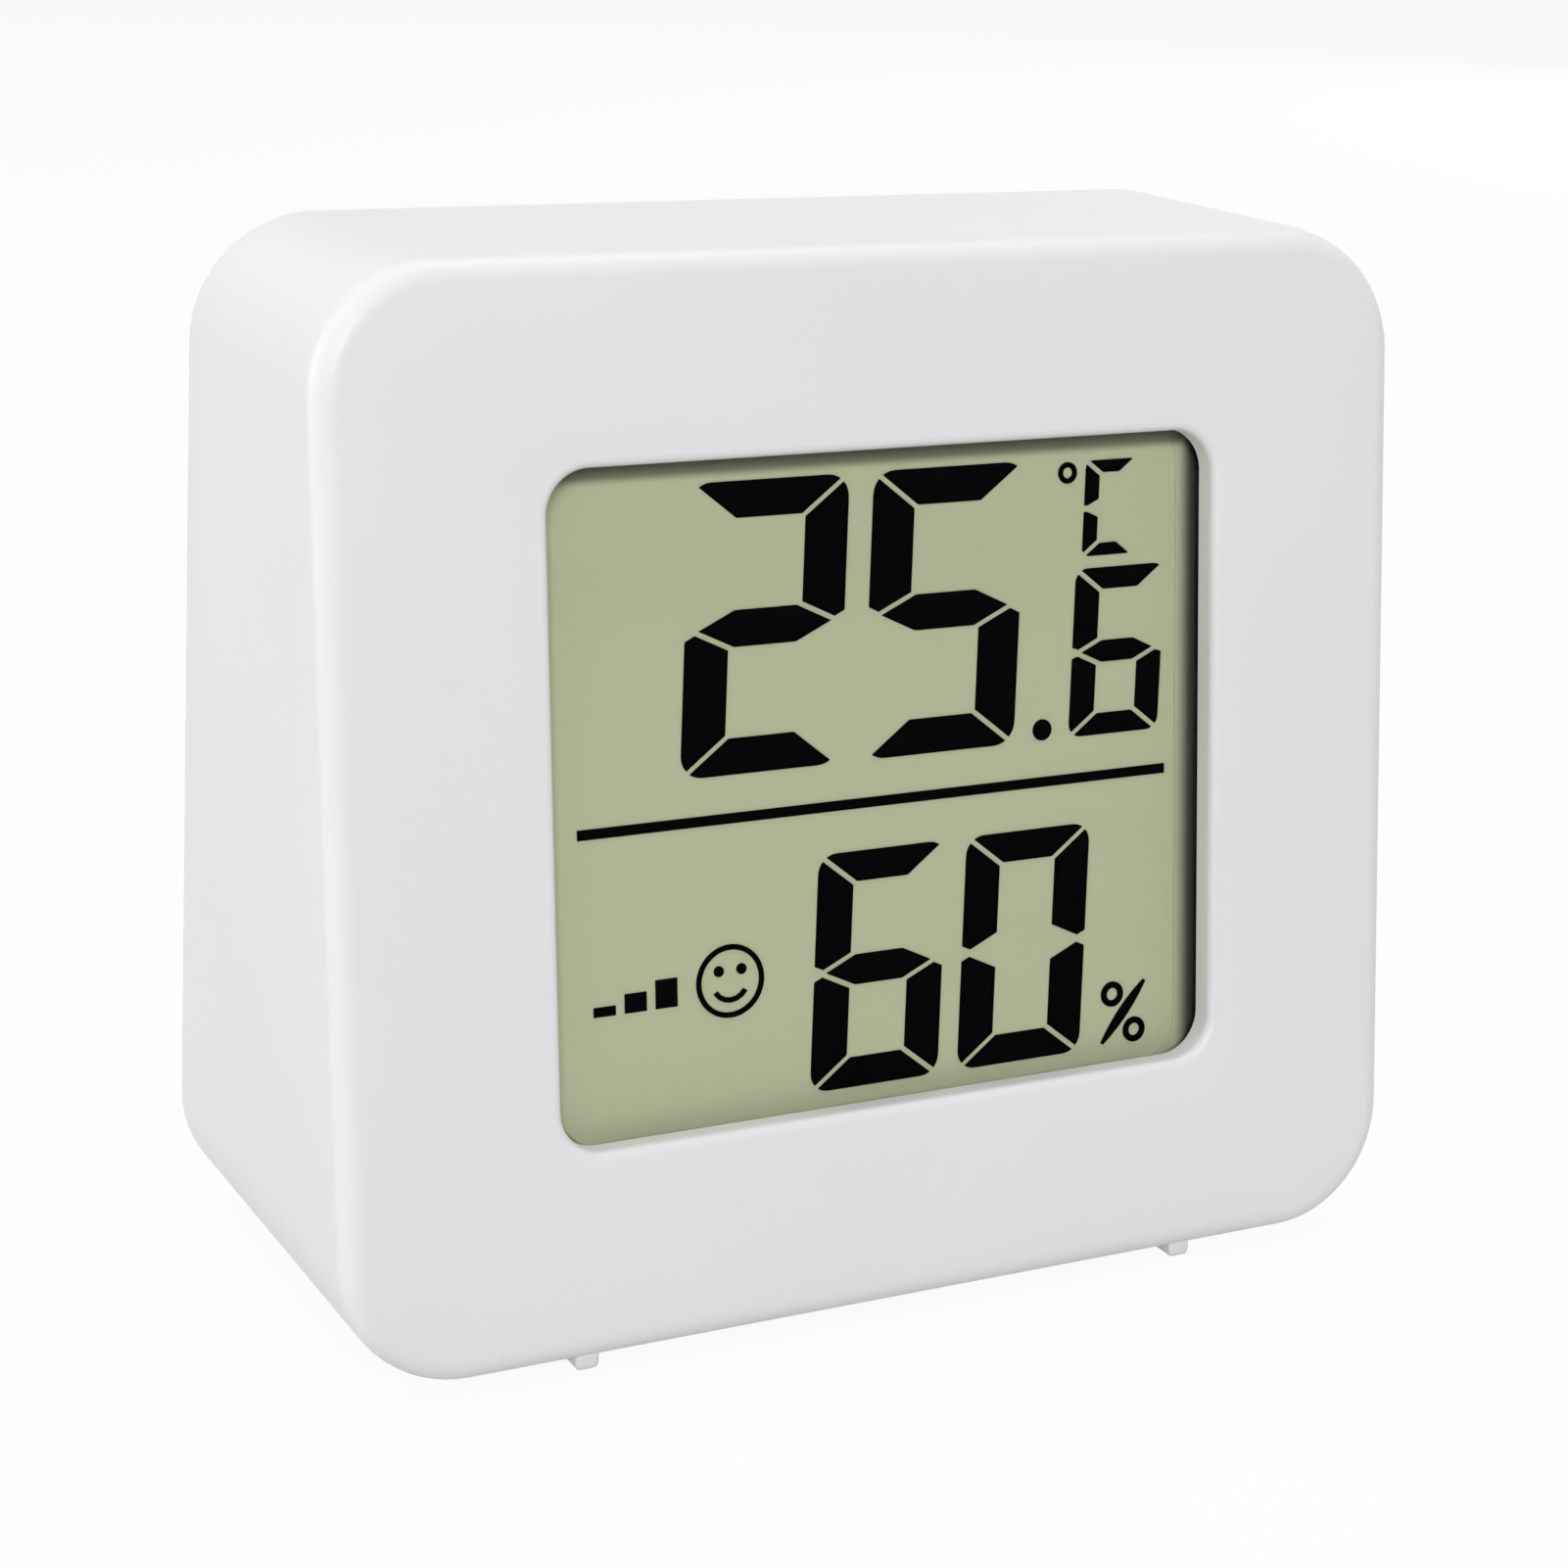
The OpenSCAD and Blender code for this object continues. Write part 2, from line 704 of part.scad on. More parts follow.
// Unit button: a cap in the cover's bore, a flange that keeps it in and a stem down to the switch
module unit_button() {
    flange_y = -cover_t - button_gap - flange_t;
    color("gainsboro") intersection() {
        on_rear() translate([button_x, 0, button_rise]) {
            translate([0, flange_y, 0]) rotate([-90, 0, 0]) {
                cylinder(r = flange_r, h = flange_t);
                rotate_extrude() polygon([
                    [0, 0],
                    [button_r, 0],
                    [button_r, button_proud - flange_y - button_ease],
                    [button_r - button_ease, button_proud - flange_y],
                    [0, button_proud - flange_y]
                ]);
            }
            translate([0, -base_depth, 0]) post(stem_r, base_depth + flange_y + flange_t / 2);
        }
        behind_front(plunger_y + seat_gap);
    }
}

module on_switch(depth) {
    on_front() translate([button_x, depth, axis_v(button_rise, plunger_y)]) children();
}

// Press switch: the moulded body on the board
module switch_body() {
    color("dimgray") on_switch(board_back) difference() {
        slab(switch_w, switch_w, switch_h);
        translate([0, switch_floor, 0]) post(plunger_flange_r + button_gap, switch_h);
    }
}

// Press switch: the steel plate that keeps the plunger in
module switch_plate() {
    color("silver") on_switch(board_back + switch_h) difference() {
        slab(switch_w, switch_w, plate_t);
        translate([0, -cut, 0]) post(plunger_r + button_gap, plate_t + 2 * cut);
    }
}

// Press switch: the plunger under the button's stem
module switch_plunger() {
    flange_top = board_back + switch_h - button_gap;
    color("black") {
        on_switch(flange_top - plunger_flange_t) post(plunger_flange_r, plunger_flange_t);
        on_switch(flange_top - plunger_flange_t / 2)
            post(plunger_r, plunger_y - flange_top + plunger_flange_t / 2);
    }
}

module on_window(depth) {
    on_front() translate([0, depth, window_mid]) children();
}

// Display: polarising film on the front glass
module front_polariser() {
    color("lightgray", 0.3) on_window(front_wall) plate(film_w, film_h, film_t, window_r);
}

// Display: front glass, with a contact ledge above and below
module front_glass() {
    color("lightcyan", 0.3) on_window(glass_y) slab(glass_w, glass_h, glass_t);
}

// Display: the seal that closes the liquid-crystal gap
module crystal_seal() {
    color("gray") on_window(crystal_y) difference() {
        slab(glass_w, rear_glass_h, crystal_t);
        translate([0, -cut, 0])
            plate(window_w - 2 * seal_lap, window_h + 2 * seal_in, crystal_t + 2 * cut, window_r);
    }
}

function slanted(points) = [for (p = points) [p.x + digit_slant * p.y, p.y]];
function arc(middle, r, from, to) =
    [for (i = [0:arc_steps]) let (a = from + (to - from) * i / arc_steps) middle + r * [cos(a), sin(a)]];
function digit_outline(w, h, r) = concat(
    arc([w - r, h - r], r, 0, 90),
    arc([r, h - r], r, 90, 180),
    arc([r, r], r, 180, 270),
    arc([w - r, r], r, 270, 360)
);
function mirror_x(points, w) = [for (p = points) [w - p.x, p.y]];
function mirror_y(points, h) = [for (p = points) [p.x, h - p.y]];

// Outline of one segment of a digit. Upright segments have the stroke s, level ones the stroke t,
// and each end is cut along the mitre to its neighbour with half a gap left on it. At half height the
// upright segments lose their outer corners. The outer edge runs on past the digit, whose own outline
// then trims it.
function level_end(w, h, s, t) =
    let (shift = segment_gap / 2 * norm([s, t]) / t)
    [[shift - s, h + t], [w + s - shift, h + t], [w - s - shift, h - t], [s + shift, h - t]];
function level_middle(w, h, s, t) =
    let (
        half = t / 2,
        tip = digit_tip * s,
        shift = segment_gap / 2 * norm([s - tip, half]) / half
    )
    [
        [tip + shift, h / 2], [s + shift, h / 2 + half], [w - s - shift, h / 2 + half],
        [w - tip - shift, h / 2], [w - s - shift, h / 2 - half], [s + shift, h / 2 - half]
    ];
function upright(h, s, t) =
    let (
        half = t / 2,
        run = (1 - digit_tip) * s,
        notch = digit_notch * s,
        rise = digit_notch_rise * s,
        outer_shift = segment_gap / 2 * norm([s, t]) / s,
        inner_shift = segment_gap / 2 * norm([run, half]) / run
    )
    [
        [-s, h / 2 + rise], [0, h / 2 + rise],
        [notch, h / 2 + (notch - s + run) * half / run + inner_shift], [s, h / 2 + half + inner_shift],
        [s, h - t - outer_shift], [-s, h + t - outer_shift]
    ];
function segment(name, w, h, s, t) =
    name == "a" ? level_end(w, h, s, t) :
    name == "b" ? mirror_x(upright(h, s, t), w) :
    name == "c" ? mirror_y(mirror_x(upright(h, s, t), w), h) :
    name == "d" ? mirror_y(level_end(w, h, s, t), h) :
    name == "e" ? mirror_y(upright(h, s, t), h) :
    name == "f" ? upright(h, s, t) :
    level_middle(w, h, s, t);

module ink() {
    sheet_y(crystal_t) children();
}

// A digit from its lit segments, with its lower left corner at the place given
module digit(place, lit, w, h, s) {
    outline = slanted(digit_outline(w, h, digit_round * s));
    translate([place.x, 0, place.y]) for (name = lit) intersection() {
        translate([0, -cut, 0]) sheet_y(crystal_t + 2 * cut) polygon(outline);
        ink() polygon(slanted(segment(name, w, h, s, s * level_share)));
    }
}

module ring(place, r, stroke) {
    translate([place.x, 0, place.y]) pipe(r, r - stroke, crystal_t);
}

module dot(place, r) {
    translate([place.x, 0, place.y]) post(r, crystal_t);
}

// One long edge of the slash, thickest in the middle
function slash_edge(side) =
    let (across = [percent_slash.y, -percent_slash.x] / norm(percent_slash))
    [for (i = [-arc_steps:arc_steps]) let (u = side * i / arc_steps)
        u * percent_slash + side * across * (slash_tip + (slash_half - slash_tip) * (1 - u * u))];

module percent_mark(place) {
    for (side = sides)
        ring(place + side * [-percent_offset.x, percent_offset.y], percent_ring_r, percent_stroke);
    translate([place.x, 0, place.y]) ink() polygon(concat(slash_edge(1), slash_edge(-1)));
}

module comfort_face(place) {
    ring(place, face_r, ring_stroke);
    for (side = sides) dot(place + [side * eye_offset.x, eye_offset.y], eye_r);
    translate([place.x, 0, place.y]) ink() polygon(concat(
        arc([0, 0], mouth_r, mouth_low, mouth_high),
        arc([0, 0], mouth_r - ring_stroke, mouth_high, mouth_low)
    ));
}

// Rising bars beside the comfort face
module level_bars(place) {
    for (i = [0:level_count - 1])
        translate([place.x + i * level_pitch - level_bar.x / 2, 0, place.y])
            cube([level_bar.x, crystal_t, level_bar.y * (i + 1)]);
}

// Display: the segments that show temperature above and humidity below
module display_segments() {
    left = -window_w / 2;
    base = -window_h / 2;
    upper = base + upper_row;
    lower = base + lower_row;
    unit_rise = upper + tenth_h + unit_space;
    color("black") on_window(crystal_y) {
        digit([big_x - big_pitch, upper], "abged", big_w, big_h, big_stroke);
        digit([big_x, upper], "afgcd", big_w, big_h, big_stroke);
        digit([tenth_x, upper], "afgedc", tenth_w, tenth_h, tenth_stroke);
        digit([unit_x, unit_rise], "afed", unit_w, unit_h, unit_stroke);
        digit([low_x - low_pitch, lower], "afgedc", low_w, low_h, low_stroke);
        digit([low_x, lower], "abcdef", low_w, low_h, low_stroke);
        dot([big_x + big_w + dot_in, upper + dot_r], dot_r);
        ring([unit_x - degree_in, unit_rise + unit_h - dot_r], dot_r, ring_stroke);
        translate([(divider_left - divider_right) / 2, 0, base + divider_rise])
            slab(window_w - divider_left - divider_right, divider_t, crystal_t);
        percent_mark([window_w / 2 - percent_in, base + percent_rise]);
        comfort_face([left + face_in, base + face_rise]);
        level_bars([left + level_in, base + level_rise]);
    }
}

// Display: rear glass
module rear_glass() {
    color("lightcyan", 0.3) on_window(rear_glass_y) slab(glass_w, rear_glass_h, glass_t);
}

// Display: rear polarising film with its grey-green reflector
module reflector_film() {
    color("darkseagreen") on_window(reflector_y) plate(film_w, film_h, reflector_t, window_r);
}

// Frame that holds the glass, the films and the elastomer strips against the case
module display_frame() {
    depth = board_y - front_wall;
    opening_w = film_w - 2 * frame_shoulder;
    opening_h = film_h - 2 * frame_shoulder;
    color("whitesmoke") on_window(front_wall) difference() {
        slab(frame_w, frame_h, depth);
        translate([0, -cut, 0])
            slab(glass_w + 2 * glass_gap, glass_h + 2 * glass_gap, shoulder_y - front_wall + cut);
        slab(opening_w, opening_h, depth + cut);
        for (z = sides) translate([0, 0, z * zebra_mid])
            slab(zebra_l + 2 * glass_gap, zebra_w + 2 * glass_gap, depth + cut);
    }
}

module zebra_strip(side) {
    color("black") on_window(crystal_y) translate([0, 0, side * zebra_mid]) slab(zebra_l, zebra_w, zebra_h);
}

// Elastomer connector from the glass to the board, above the window
module zebra_strip_upper() {
    zebra_strip(1);
}

// Elastomer connector from the glass to the board, below the window
module zebra_strip_lower() {
    zebra_strip(-1);
}

// The corner of the board that makes way for a cover boss: below the lower ones, above the upper ones
module board_notch(x, end) {
    clear = cover_boss_r + inner_gap;
    rise = cover_screw_rise[end];
    mirror([x < 0 ? 1 : 0, 0, 0])
        translate([cover_boss_x - clear, -base_depth, end > 0 ? rise - clear : rise + clear - body_h])
            cube([body_w, base_depth, body_h]);
}

// Circuit board, screwed to the case behind the display and notched at its corners for the cover's bosses
module main_board() {
    color("seagreen") difference() {
        on_window(board_y) slab(board_w, frame_h, board_t);
        on_front() at_board_screws() translate([0, board_y - cut, 0])
            post(board_screw_r + 2 * pin_gap, board_t + 2 * cut);
        for (x = sides, end = [0, 1]) on_rear() board_notch(x, end);
    }
}

// Drop of resin over the chip: a cap of a sphere
module chip_resin() {
    ball_r = (resin_r * resin_r + resin_h * resin_h) / (2 * resin_h);
    color("black") on_front() translate([resin_at.x, board_back, resin_at.y]) intersection() {
        translate([0, resin_h - ball_r, 0]) sphere(ball_r, $fn = ball_fn);
        post(ball_r, ball_r);
    }
}

module on_quartz() {
    on_front() translate([quartz_at.x, board_back + quartz_r + seat_gap, quartz_at.y]) children();
}

// Quartz can lying on the board
module quartz_can() {
    color("silver") on_quartz() translate([0, 0, -quartz_l / 2]) cylinder(r = quartz_r, h = quartz_l);
}

// Wires of the quartz, bent down to the board
module quartz_leads() {
    color("silver") on_quartz() for (x = sides) translate([x * quartz_r / 2, 0, quartz_l / 2]) {
        cylinder(r = quartz_lead_r, h = quartz_lead_l);
        translate([0, -quartz_r - seat_gap, quartz_lead_l])
            post(quartz_lead_r, quartz_r + seat_gap + quartz_lead_r);
    }
}

module chip_row(place, size) {
    on_front() for (i = [0:chip_count - 1])
        translate([place.x - size.x / 2, board_back, place.y + i * chip_pitch]) cube(size);
}

// Row of ceramic capacitors on the board
module chip_capacitors() {
    color("tan") chip_row(capacitor_at, capacitor);
}

// Row of chip resistors on the board
module chip_resistors() {
    color("darkslategray") chip_row(resistor_at, resistor);
}

module on_sensor(side, depth) {
    on_front() translate([side * sensor_x, board_back + depth, sensor_v]) children();
}

// Ceramic humidity plate behind the vents
module humidity_plate() {
    color("white") on_sensor(-1, sensor_rise) slab(humidity_w, humidity_h, humidity_t);
}

// Wires that stand the humidity plate off the board
module humidity_leads() {
    color("silver") on_sensor(-1, 0) for (x = sides)
        translate([x * humidity_lead_pitch / 2, 0, 0]) post(lead_r, sensor_rise);
}

module bead_form() {
    on_sensor(1, sensor_rise) sphere(bead_r);
}

// Thermistor bead behind the vents
module thermistor_bead() {
    color("black") bead_form();
}

// Wires that stand the thermistor off the board
module thermistor_leads() {
    color("silver") difference() {
        on_sensor(1, 0) for (x = sides) translate([x * lead_pitch / 2, 0, 0]) post(lead_r, sensor_rise);
        bead_form();
    }
}

module on_cell(y) {
    on_rear() translate([0, y, cell_rise]) children();
}

// Coin cell: the positive can, its flat side to the door
module cell_can() {
    wall_l = cell_t - cap_step;
    color("silver") difference() {
        on_cell(-cell_in - wall_l) post(cell_r, wall_l);
        on_cell(-cell_in - wall_l - cut) post(cell_r - can_t, wall_l - can_t + cut);
    }
}

// Coin cell: the sealing ring between can and cap
module cell_gasket() {
    r = cell_r - can_t - seat_gap;
    l = cell_t - cap_step - can_t;
    color("black") on_cell(-cell_in - can_t - l) pipe(r, r - gasket_t, l);
}

// Coin cell: the negative cap with what it holds
module cell_cap() {
    l = cell_t - can_t;
    color("silver") on_cell(-cell_in - can_t - l) post(cell_r - can_t - 2 * seat_gap - gasket_t, l);
}

// Positive contact: an upright strip beside the cell, down to the board
module positive_contact() {
    top = recess_in + inner_gap + 4 * seat_gap;
    color("gold") intersection() {
        on_cell(0) translate([cell_r + seat_gap, -base_depth, -strip_w / 2])
            cube([strip_t, base_depth - top, strip_w]);
        behind_front(board_back);
    }
}

// Negative contact: an arched leaf on the well's floor, with a foot down to the board
module negative_contact() {
    low = -well_in;
    high = -well_in + contact_h - strip_t - seat_gap;
    color("gold") intersection() {
        on_cell(0) translate([0, 0, -strip_w / 2]) {
            linear_extrude(strip_w) polygon([
                [-leaf_half, low], [-leaf_bend, low], [-leaf_top, high], [leaf_top, high],
                [leaf_bend, low], [leaf_half, low], [leaf_half, low + strip_t], [leaf_bend, low + strip_t],
                [leaf_top, high + strip_t], [-leaf_top, high + strip_t], [-leaf_bend, low + strip_t],
                [-leaf_half, low + strip_t]
            ]);
            translate([-leaf_half - strip_t, -base_depth, 0])
                cube([strip_t, base_depth + low + strip_t, strip_w]);
        }
        behind_front(board_back);
    }
}

// A screw along -y from its head's seat, with a cross slot in the head
module screw(r, l, head_r, head_h) {
    translate([0, -l, 0]) post(r, l);
    difference() {
        post(head_r, head_h);
        for (turn = [0, 90])
            translate([0, head_h / 2, 0]) rotate([0, turn, 0]) slab(screw_slot.x, screw_slot.y, head_h);
    }
}

// Screws that hold the board to the case
module board_screws() {
    color("silver") on_front() at_board_screws() translate([0, board_back, 0])
        screw(board_screw_r, board_screw_l, board_head_r, board_head_h);
}

// Screws that hold the rear cover to the case
module cover_screws() {
    color("silver") on_rear() at_cover_screws() translate([0, -cover_head_h - cover_head_in, 0])
        screw(cover_screw_r, cover_screw_l, cover_head_r, cover_head_h);
}

front_housing();
rear_cover();
battery_door();
unit_button();
switch_body();
switch_plate();
switch_plunger();
front_polariser();
front_glass();
crystal_seal();
display_segments();
rear_glass();
reflector_film();
display_frame();
zebra_strip_upper();
zebra_strip_lower();
main_board();
chip_resin();
quartz_can();
quartz_leads();
chip_capacitors();
chip_resistors();
humidity_plate();
humidity_leads();
thermistor_bead();
thermistor_leads();
cell_can();
cell_gasket();
cell_cap();
positive_contact();
negative_contact();
board_screws();
cover_screws();
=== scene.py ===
"""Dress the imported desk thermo-hygrometer and set up its studio.

A white wedge-shaped case stands on two runners and shows a grey-green segment display in a
recessed window. The housing and the unit button are new surfaces; every other piece is its CAD
solid with a finish of its own. Sizes are millimetres and turn into metres where a mesh is made.
"""
import logging
from dataclasses import dataclass, field
from enum import Enum

import bmesh
import bpy
import numpy as np
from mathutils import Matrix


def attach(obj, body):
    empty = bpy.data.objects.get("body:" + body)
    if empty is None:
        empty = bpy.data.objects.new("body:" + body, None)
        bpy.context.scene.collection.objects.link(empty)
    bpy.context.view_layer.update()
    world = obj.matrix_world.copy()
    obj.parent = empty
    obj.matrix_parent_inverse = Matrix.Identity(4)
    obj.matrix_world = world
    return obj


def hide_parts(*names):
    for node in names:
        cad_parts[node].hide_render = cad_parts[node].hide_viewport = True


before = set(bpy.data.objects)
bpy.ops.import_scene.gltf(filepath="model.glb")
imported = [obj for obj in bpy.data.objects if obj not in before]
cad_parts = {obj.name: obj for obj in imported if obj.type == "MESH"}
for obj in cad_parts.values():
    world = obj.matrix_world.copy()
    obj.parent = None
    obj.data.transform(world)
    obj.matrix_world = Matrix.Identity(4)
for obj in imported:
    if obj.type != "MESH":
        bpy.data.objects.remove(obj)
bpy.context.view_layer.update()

LOG = logging.getLogger("thermo_hygrometer")
METRE = 0.001
MERGE = 1e-7  # points this near to each other, in metres, count as one

Colour = tuple[float, float, float]
Vector = tuple[float, float, float]


class Body(Enum):
    """The bodies that a piece can ride on."""

    CASE = "case"
    BUTTON = "button"


class Side(Enum):
    """The two sides of the case, as the sign of their x."""

    LEFT = -1
    RIGHT = 1


def link_mesh(name: str, points: np.ndarray, faces: np.ndarray, crease: float) -> bpy.types.Object:
    """Put points and quads into a closed mesh object with its faces turned outward.

    Points that fall together, as at a pole, are merged first, and edges that turn more than the
    crease stay sharp.

    Args:
        name: Name of the object and its mesh.
        points: Points in millimetres, one row each.
        faces: Corner numbers of the quads, one row each.
        crease: Angle in degrees past which an edge is shaded as a sharp one.

    Returns:
        The new object, at the origin.
    """
    mesh = bpy.data.meshes.new(name)
    mesh.from_pydata((points * METRE).tolist(), [], faces.tolist())
    shell = bmesh.new()
    shell.from_mesh(mesh)
    bmesh.ops.remove_doubles(shell, verts=shell.verts, dist=MERGE)
    bmesh.ops.dissolve_degenerate(shell, edges=shell.edges, dist=MERGE)
    bmesh.ops.recalc_face_normals(shell, faces=shell.faces)
    shell.to_mesh(mesh)
    shell.free()
    mesh.polygons.foreach_set("use_smooth", np.ones(len(mesh.polygons), dtype=bool))
    mesh.set_sharp_from_angle(angle=np.radians(crease))
    piece = bpy.data.objects.new(name, mesh)
    bpy.context.scene.collection.objects.link(piece)
    return piece


def grid_faces(rows: int, columns: int, close_rows: bool) -> np.ndarray:
    """Number the quads of a grid whose columns run round and join up.

    Args:
        rows: Number of rows of points.
        columns: Number of points in a row.
        close_rows: Whether the last row joins the first one.

    Returns:
        The corner numbers of the quads, one row each.
    """
    row = np.arange(rows if close_rows else rows - 1)[:, None]
    column = np.arange(columns)[None, :]
    after_row, after_column = (row + 1) % rows, (column + 1) % columns
    corners = (
        row * columns + column,
        row * columns + after_column,
        after_row * columns + after_column,
        after_row * columns + column,
    )
    return np.stack(corners, axis=-1).reshape(-1, 4)


def rounded_loop(
    half: tuple[float, float], radius: float, arc_steps: int = 16, edge_steps: int = 9
) -> tuple[np.ndarray, np.ndarray]:
    """Sample a rounded rectangle about the origin, with the same layout for every size.

    Each corner is an arc: its middle plus the radius times (cos, sin) of the angle. The straight
    edge after it is a line to the next arc's start, so loops of different sizes match point by point.

    Args:
        half: Half width and half height.
        radius: Radius of the corners.
        arc_steps: Steps along each corner.
        edge_steps: Points set along each straight edge.

    Returns:
        The points and the outward normals, both as rows of two numbers.
    """
    angle = np.radians(90 * (np.arange(4)[:, None] + np.linspace(0, 1, arc_steps + 1)))
    normal = np.stack([np.cos(angle), np.sin(angle)], axis=-1)
    signs = np.array([[1, 1], [-1, 1], [-1, -1], [1, -1]])
    corner = (signs * (np.array(half) - radius))[:, None, :] + radius * normal
    share = (np.arange(1, edge_steps + 1) / (edge_steps + 1))[None, :, None]
    edge = corner[:, -1:] * (1 - share) + np.roll(corner, -1, axis=0)[:, :1] * share
    edge_normal = np.repeat(normal[:, -1:], edge_steps, axis=1)
    points = np.concatenate([corner, edge], axis=1).reshape(-1, 2)
    return points, np.concatenate([normal, edge_normal], axis=1).reshape(-1, 2)


def turned(profile: np.ndarray, steps: int = 64) -> np.ndarray:
    """Turn a profile about the y axis.

    Args:
        profile: Radius and height of each profile point.
        steps: Steps round the axis.

    Returns:
        A grid of points, profile by angle: (r cos a, h, r sin a).
    """
    angle = np.linspace(0, 2 * np.pi, steps, endpoint=False)
    radius, height = profile[:, :1], profile[:, 1:]
    return np.stack(
        [radius * np.cos(angle), height + 0 * angle, radius * np.sin(angle)], axis=-1
    )


def arc(middle: tuple[float, float], radius: float, start: float, end: float, steps: int = 6) -> np.ndarray:
    """Sample a profile arc: the middle plus the radius times (cos, sin) of the angle.

    Args:
        middle: Radius and height of the arc's middle.
        radius: Radius of the arc.
        start: First angle in degrees.
        end: Last angle in degrees.
        steps: Steps along the arc.

    Returns:
        The profile points, one row each.
    """
    angle = np.radians(np.linspace(start, end, steps + 1))
    return np.array(middle) + radius * np.stack([np.cos(angle), np.sin(angle)], axis=-1)


class NodeSheet:
    """A material's node tree, with short calls to add and join its nodes."""

    def __init__(self, name: str) -> None:
        """Start a material with a Principled shader that nothing feeds yet.

        Args:
            name: Name of the material.
        """
        self.material = bpy.data.materials.new(name)
        self.material.use_nodes = True
        self.tree = self.material.node_tree
        self.shader = self.tree.nodes["Principled BSDF"]
        self.place = self.tree.nodes.new("ShaderNodeTexCoord").outputs["Object"]

    def set(self, **values: float | tuple[float, ...]) -> None:
        """Set sockets of the shader, with underscores for the blanks in their names."""
        for socket, value in values.items():
            self.shader.inputs[socket.replace("_", " ")].default_value = value

    def join(self, source: bpy.types.NodeSocket, target: bpy.types.NodeSocket) -> None:
        """Link one socket to another."""
        self.tree.links.new(source, target)

    def noise(self, grain: float, detail: float = 2.0, stretch: Vector = (1, 1, 1)) -> bpy.types.NodeSocket:
        """Add a noise whose lumps are about a grain across.

        Args:
            grain: Size of the lumps in millimetres.
            detail: Octaves of finer noise.
            stretch: How much finer the lumps are along each axis.

        Returns:
            The noise's factor.
        """
        mapping = self.tree.nodes.new("ShaderNodeMapping")
        mapping.inputs["Scale"].default_value = stretch
        node = self.tree.nodes.new("ShaderNodeTexNoise")
        node.inputs["Scale"].default_value = 1 / (grain * METRE)
        node.inputs["Detail"].default_value = detail
        self.join(self.place, mapping.inputs["Vector"])
        self.join(mapping.outputs["Vector"], node.inputs["Vector"])
        return node.outputs["Fac"]

    def stripes(self, pitch: float, axis: str) -> bpy.types.NodeSocket:
        """Add straight bands across an axis.

        Args:
            pitch: Step from one band to the next in millimetres.
            axis: X, Y or Z.

        Returns:
            The bands' factor.
        """
        node = self.tree.nodes.new("ShaderNodeTexWave")
        node.bands_direction = axis
        node.inputs["Scale"].default_value = np.pi / 10 / (pitch * METRE)
        self.join(self.place, node.inputs["Vector"])
        return node.outputs["Fac"]

    def beyond(self, along: Vector, start: float, end: float, top: float = 1.0) -> bpy.types.NodeSocket:
        """Add a smooth rise with the distance along a direction.

        Args:
            along: The direction, of length one.
            start: Distance in millimetres up to which the factor is zero.
            end: Distance from which the rise is over.
            top: The factor from there on.

        Returns:
            The rise's factor.
        """
        distance = self.tree.nodes.new("ShaderNodeVectorMath")
        distance.operation = "DOT_PRODUCT"
        distance.inputs[1].default_value = along
        rise = self.tree.nodes.new("ShaderNodeMapRange")
        rise.interpolation_type = "SMOOTHSTEP"
        rise.inputs["From Min"].default_value = start * METRE
        rise.inputs["From Max"].default_value = end * METRE
        rise.inputs["To Max"].default_value = top
        self.join(self.place, distance.inputs[0])
        self.join(distance.outputs["Value"], rise.inputs["Value"])
        return rise.outputs["Result"]

    def larger(self, first: bpy.types.NodeSocket, second: bpy.types.NodeSocket) -> bpy.types.NodeSocket:
        """Add a node that passes on the larger of two factors.

        Args:
            first: One factor.
            second: The other factor.

        Returns:
            The larger one.
        """
        node = self.tree.nodes.new("ShaderNodeMath")
        node.operation = "MAXIMUM"
        self.join(first, node.inputs[0])
        self.join(second, node.inputs[1])
        return node.outputs["Value"]

    def blend(
        self, factor: bpy.types.NodeSocket, low: Colour, high: Colour, reach: tuple[float, float] = (0.3, 0.7)
    ) -> None:
        """Feed the base colour with a ramp between two colours.

        Args:
            factor: What picks the place on the ramp.
            low: Colour where the factor is low.
            high: Colour where the factor is high.
            reach: Factors at which the ramp leaves the low colour and arrives at the high one.
        """
        ramp = self.tree.nodes.new("ShaderNodeValToRGB")
        for end, position, colour in zip(ramp.color_ramp.elements, reach, (low, high)):
            end.position, end.color = position, (*colour, 1)
        self.join(factor, ramp.inputs["Fac"])
        self.join(ramp.outputs["Color"], self.shader.inputs["Base Color"])

    def roughen(self, factor: bpy.types.NodeSocket, low: float, high: float) -> None:
        """Feed the roughness with a range picked by a factor.

        Args:
            factor: What picks the place in the range.
            low: Roughness where the factor is low.
            high: Roughness where the factor is high.
        """
        span = self.tree.nodes.new("ShaderNodeMapRange")
        span.inputs["To Min"].default_value, span.inputs["To Max"].default_value = low, high
        self.join(factor, span.inputs["Value"])
        self.join(span.outputs["Result"], self.shader.inputs["Roughness"])

    def emboss(self, height: bpy.types.NodeSocket, relief: float) -> None:
        """Feed the normal with a bump of a given relief in millimetres.

        Args:
            height: What raises the surface.
            relief: Height of the bumps.
        """
        bump = self.tree.nodes.new("ShaderNodeBump")
        bump.inputs["Distance"].default_value = relief * METRE
        self.join(height, bump.inputs["Height"])
        self.join(bump.outputs["Normal"], self.shader.inputs["Normal"])


def tinted(colour: Colour, share: float) -> Colour:
    """Return a colour made lighter or darker by a share of itself."""
    return tuple(min(1.0, part * (1 + share)) for part in colour)


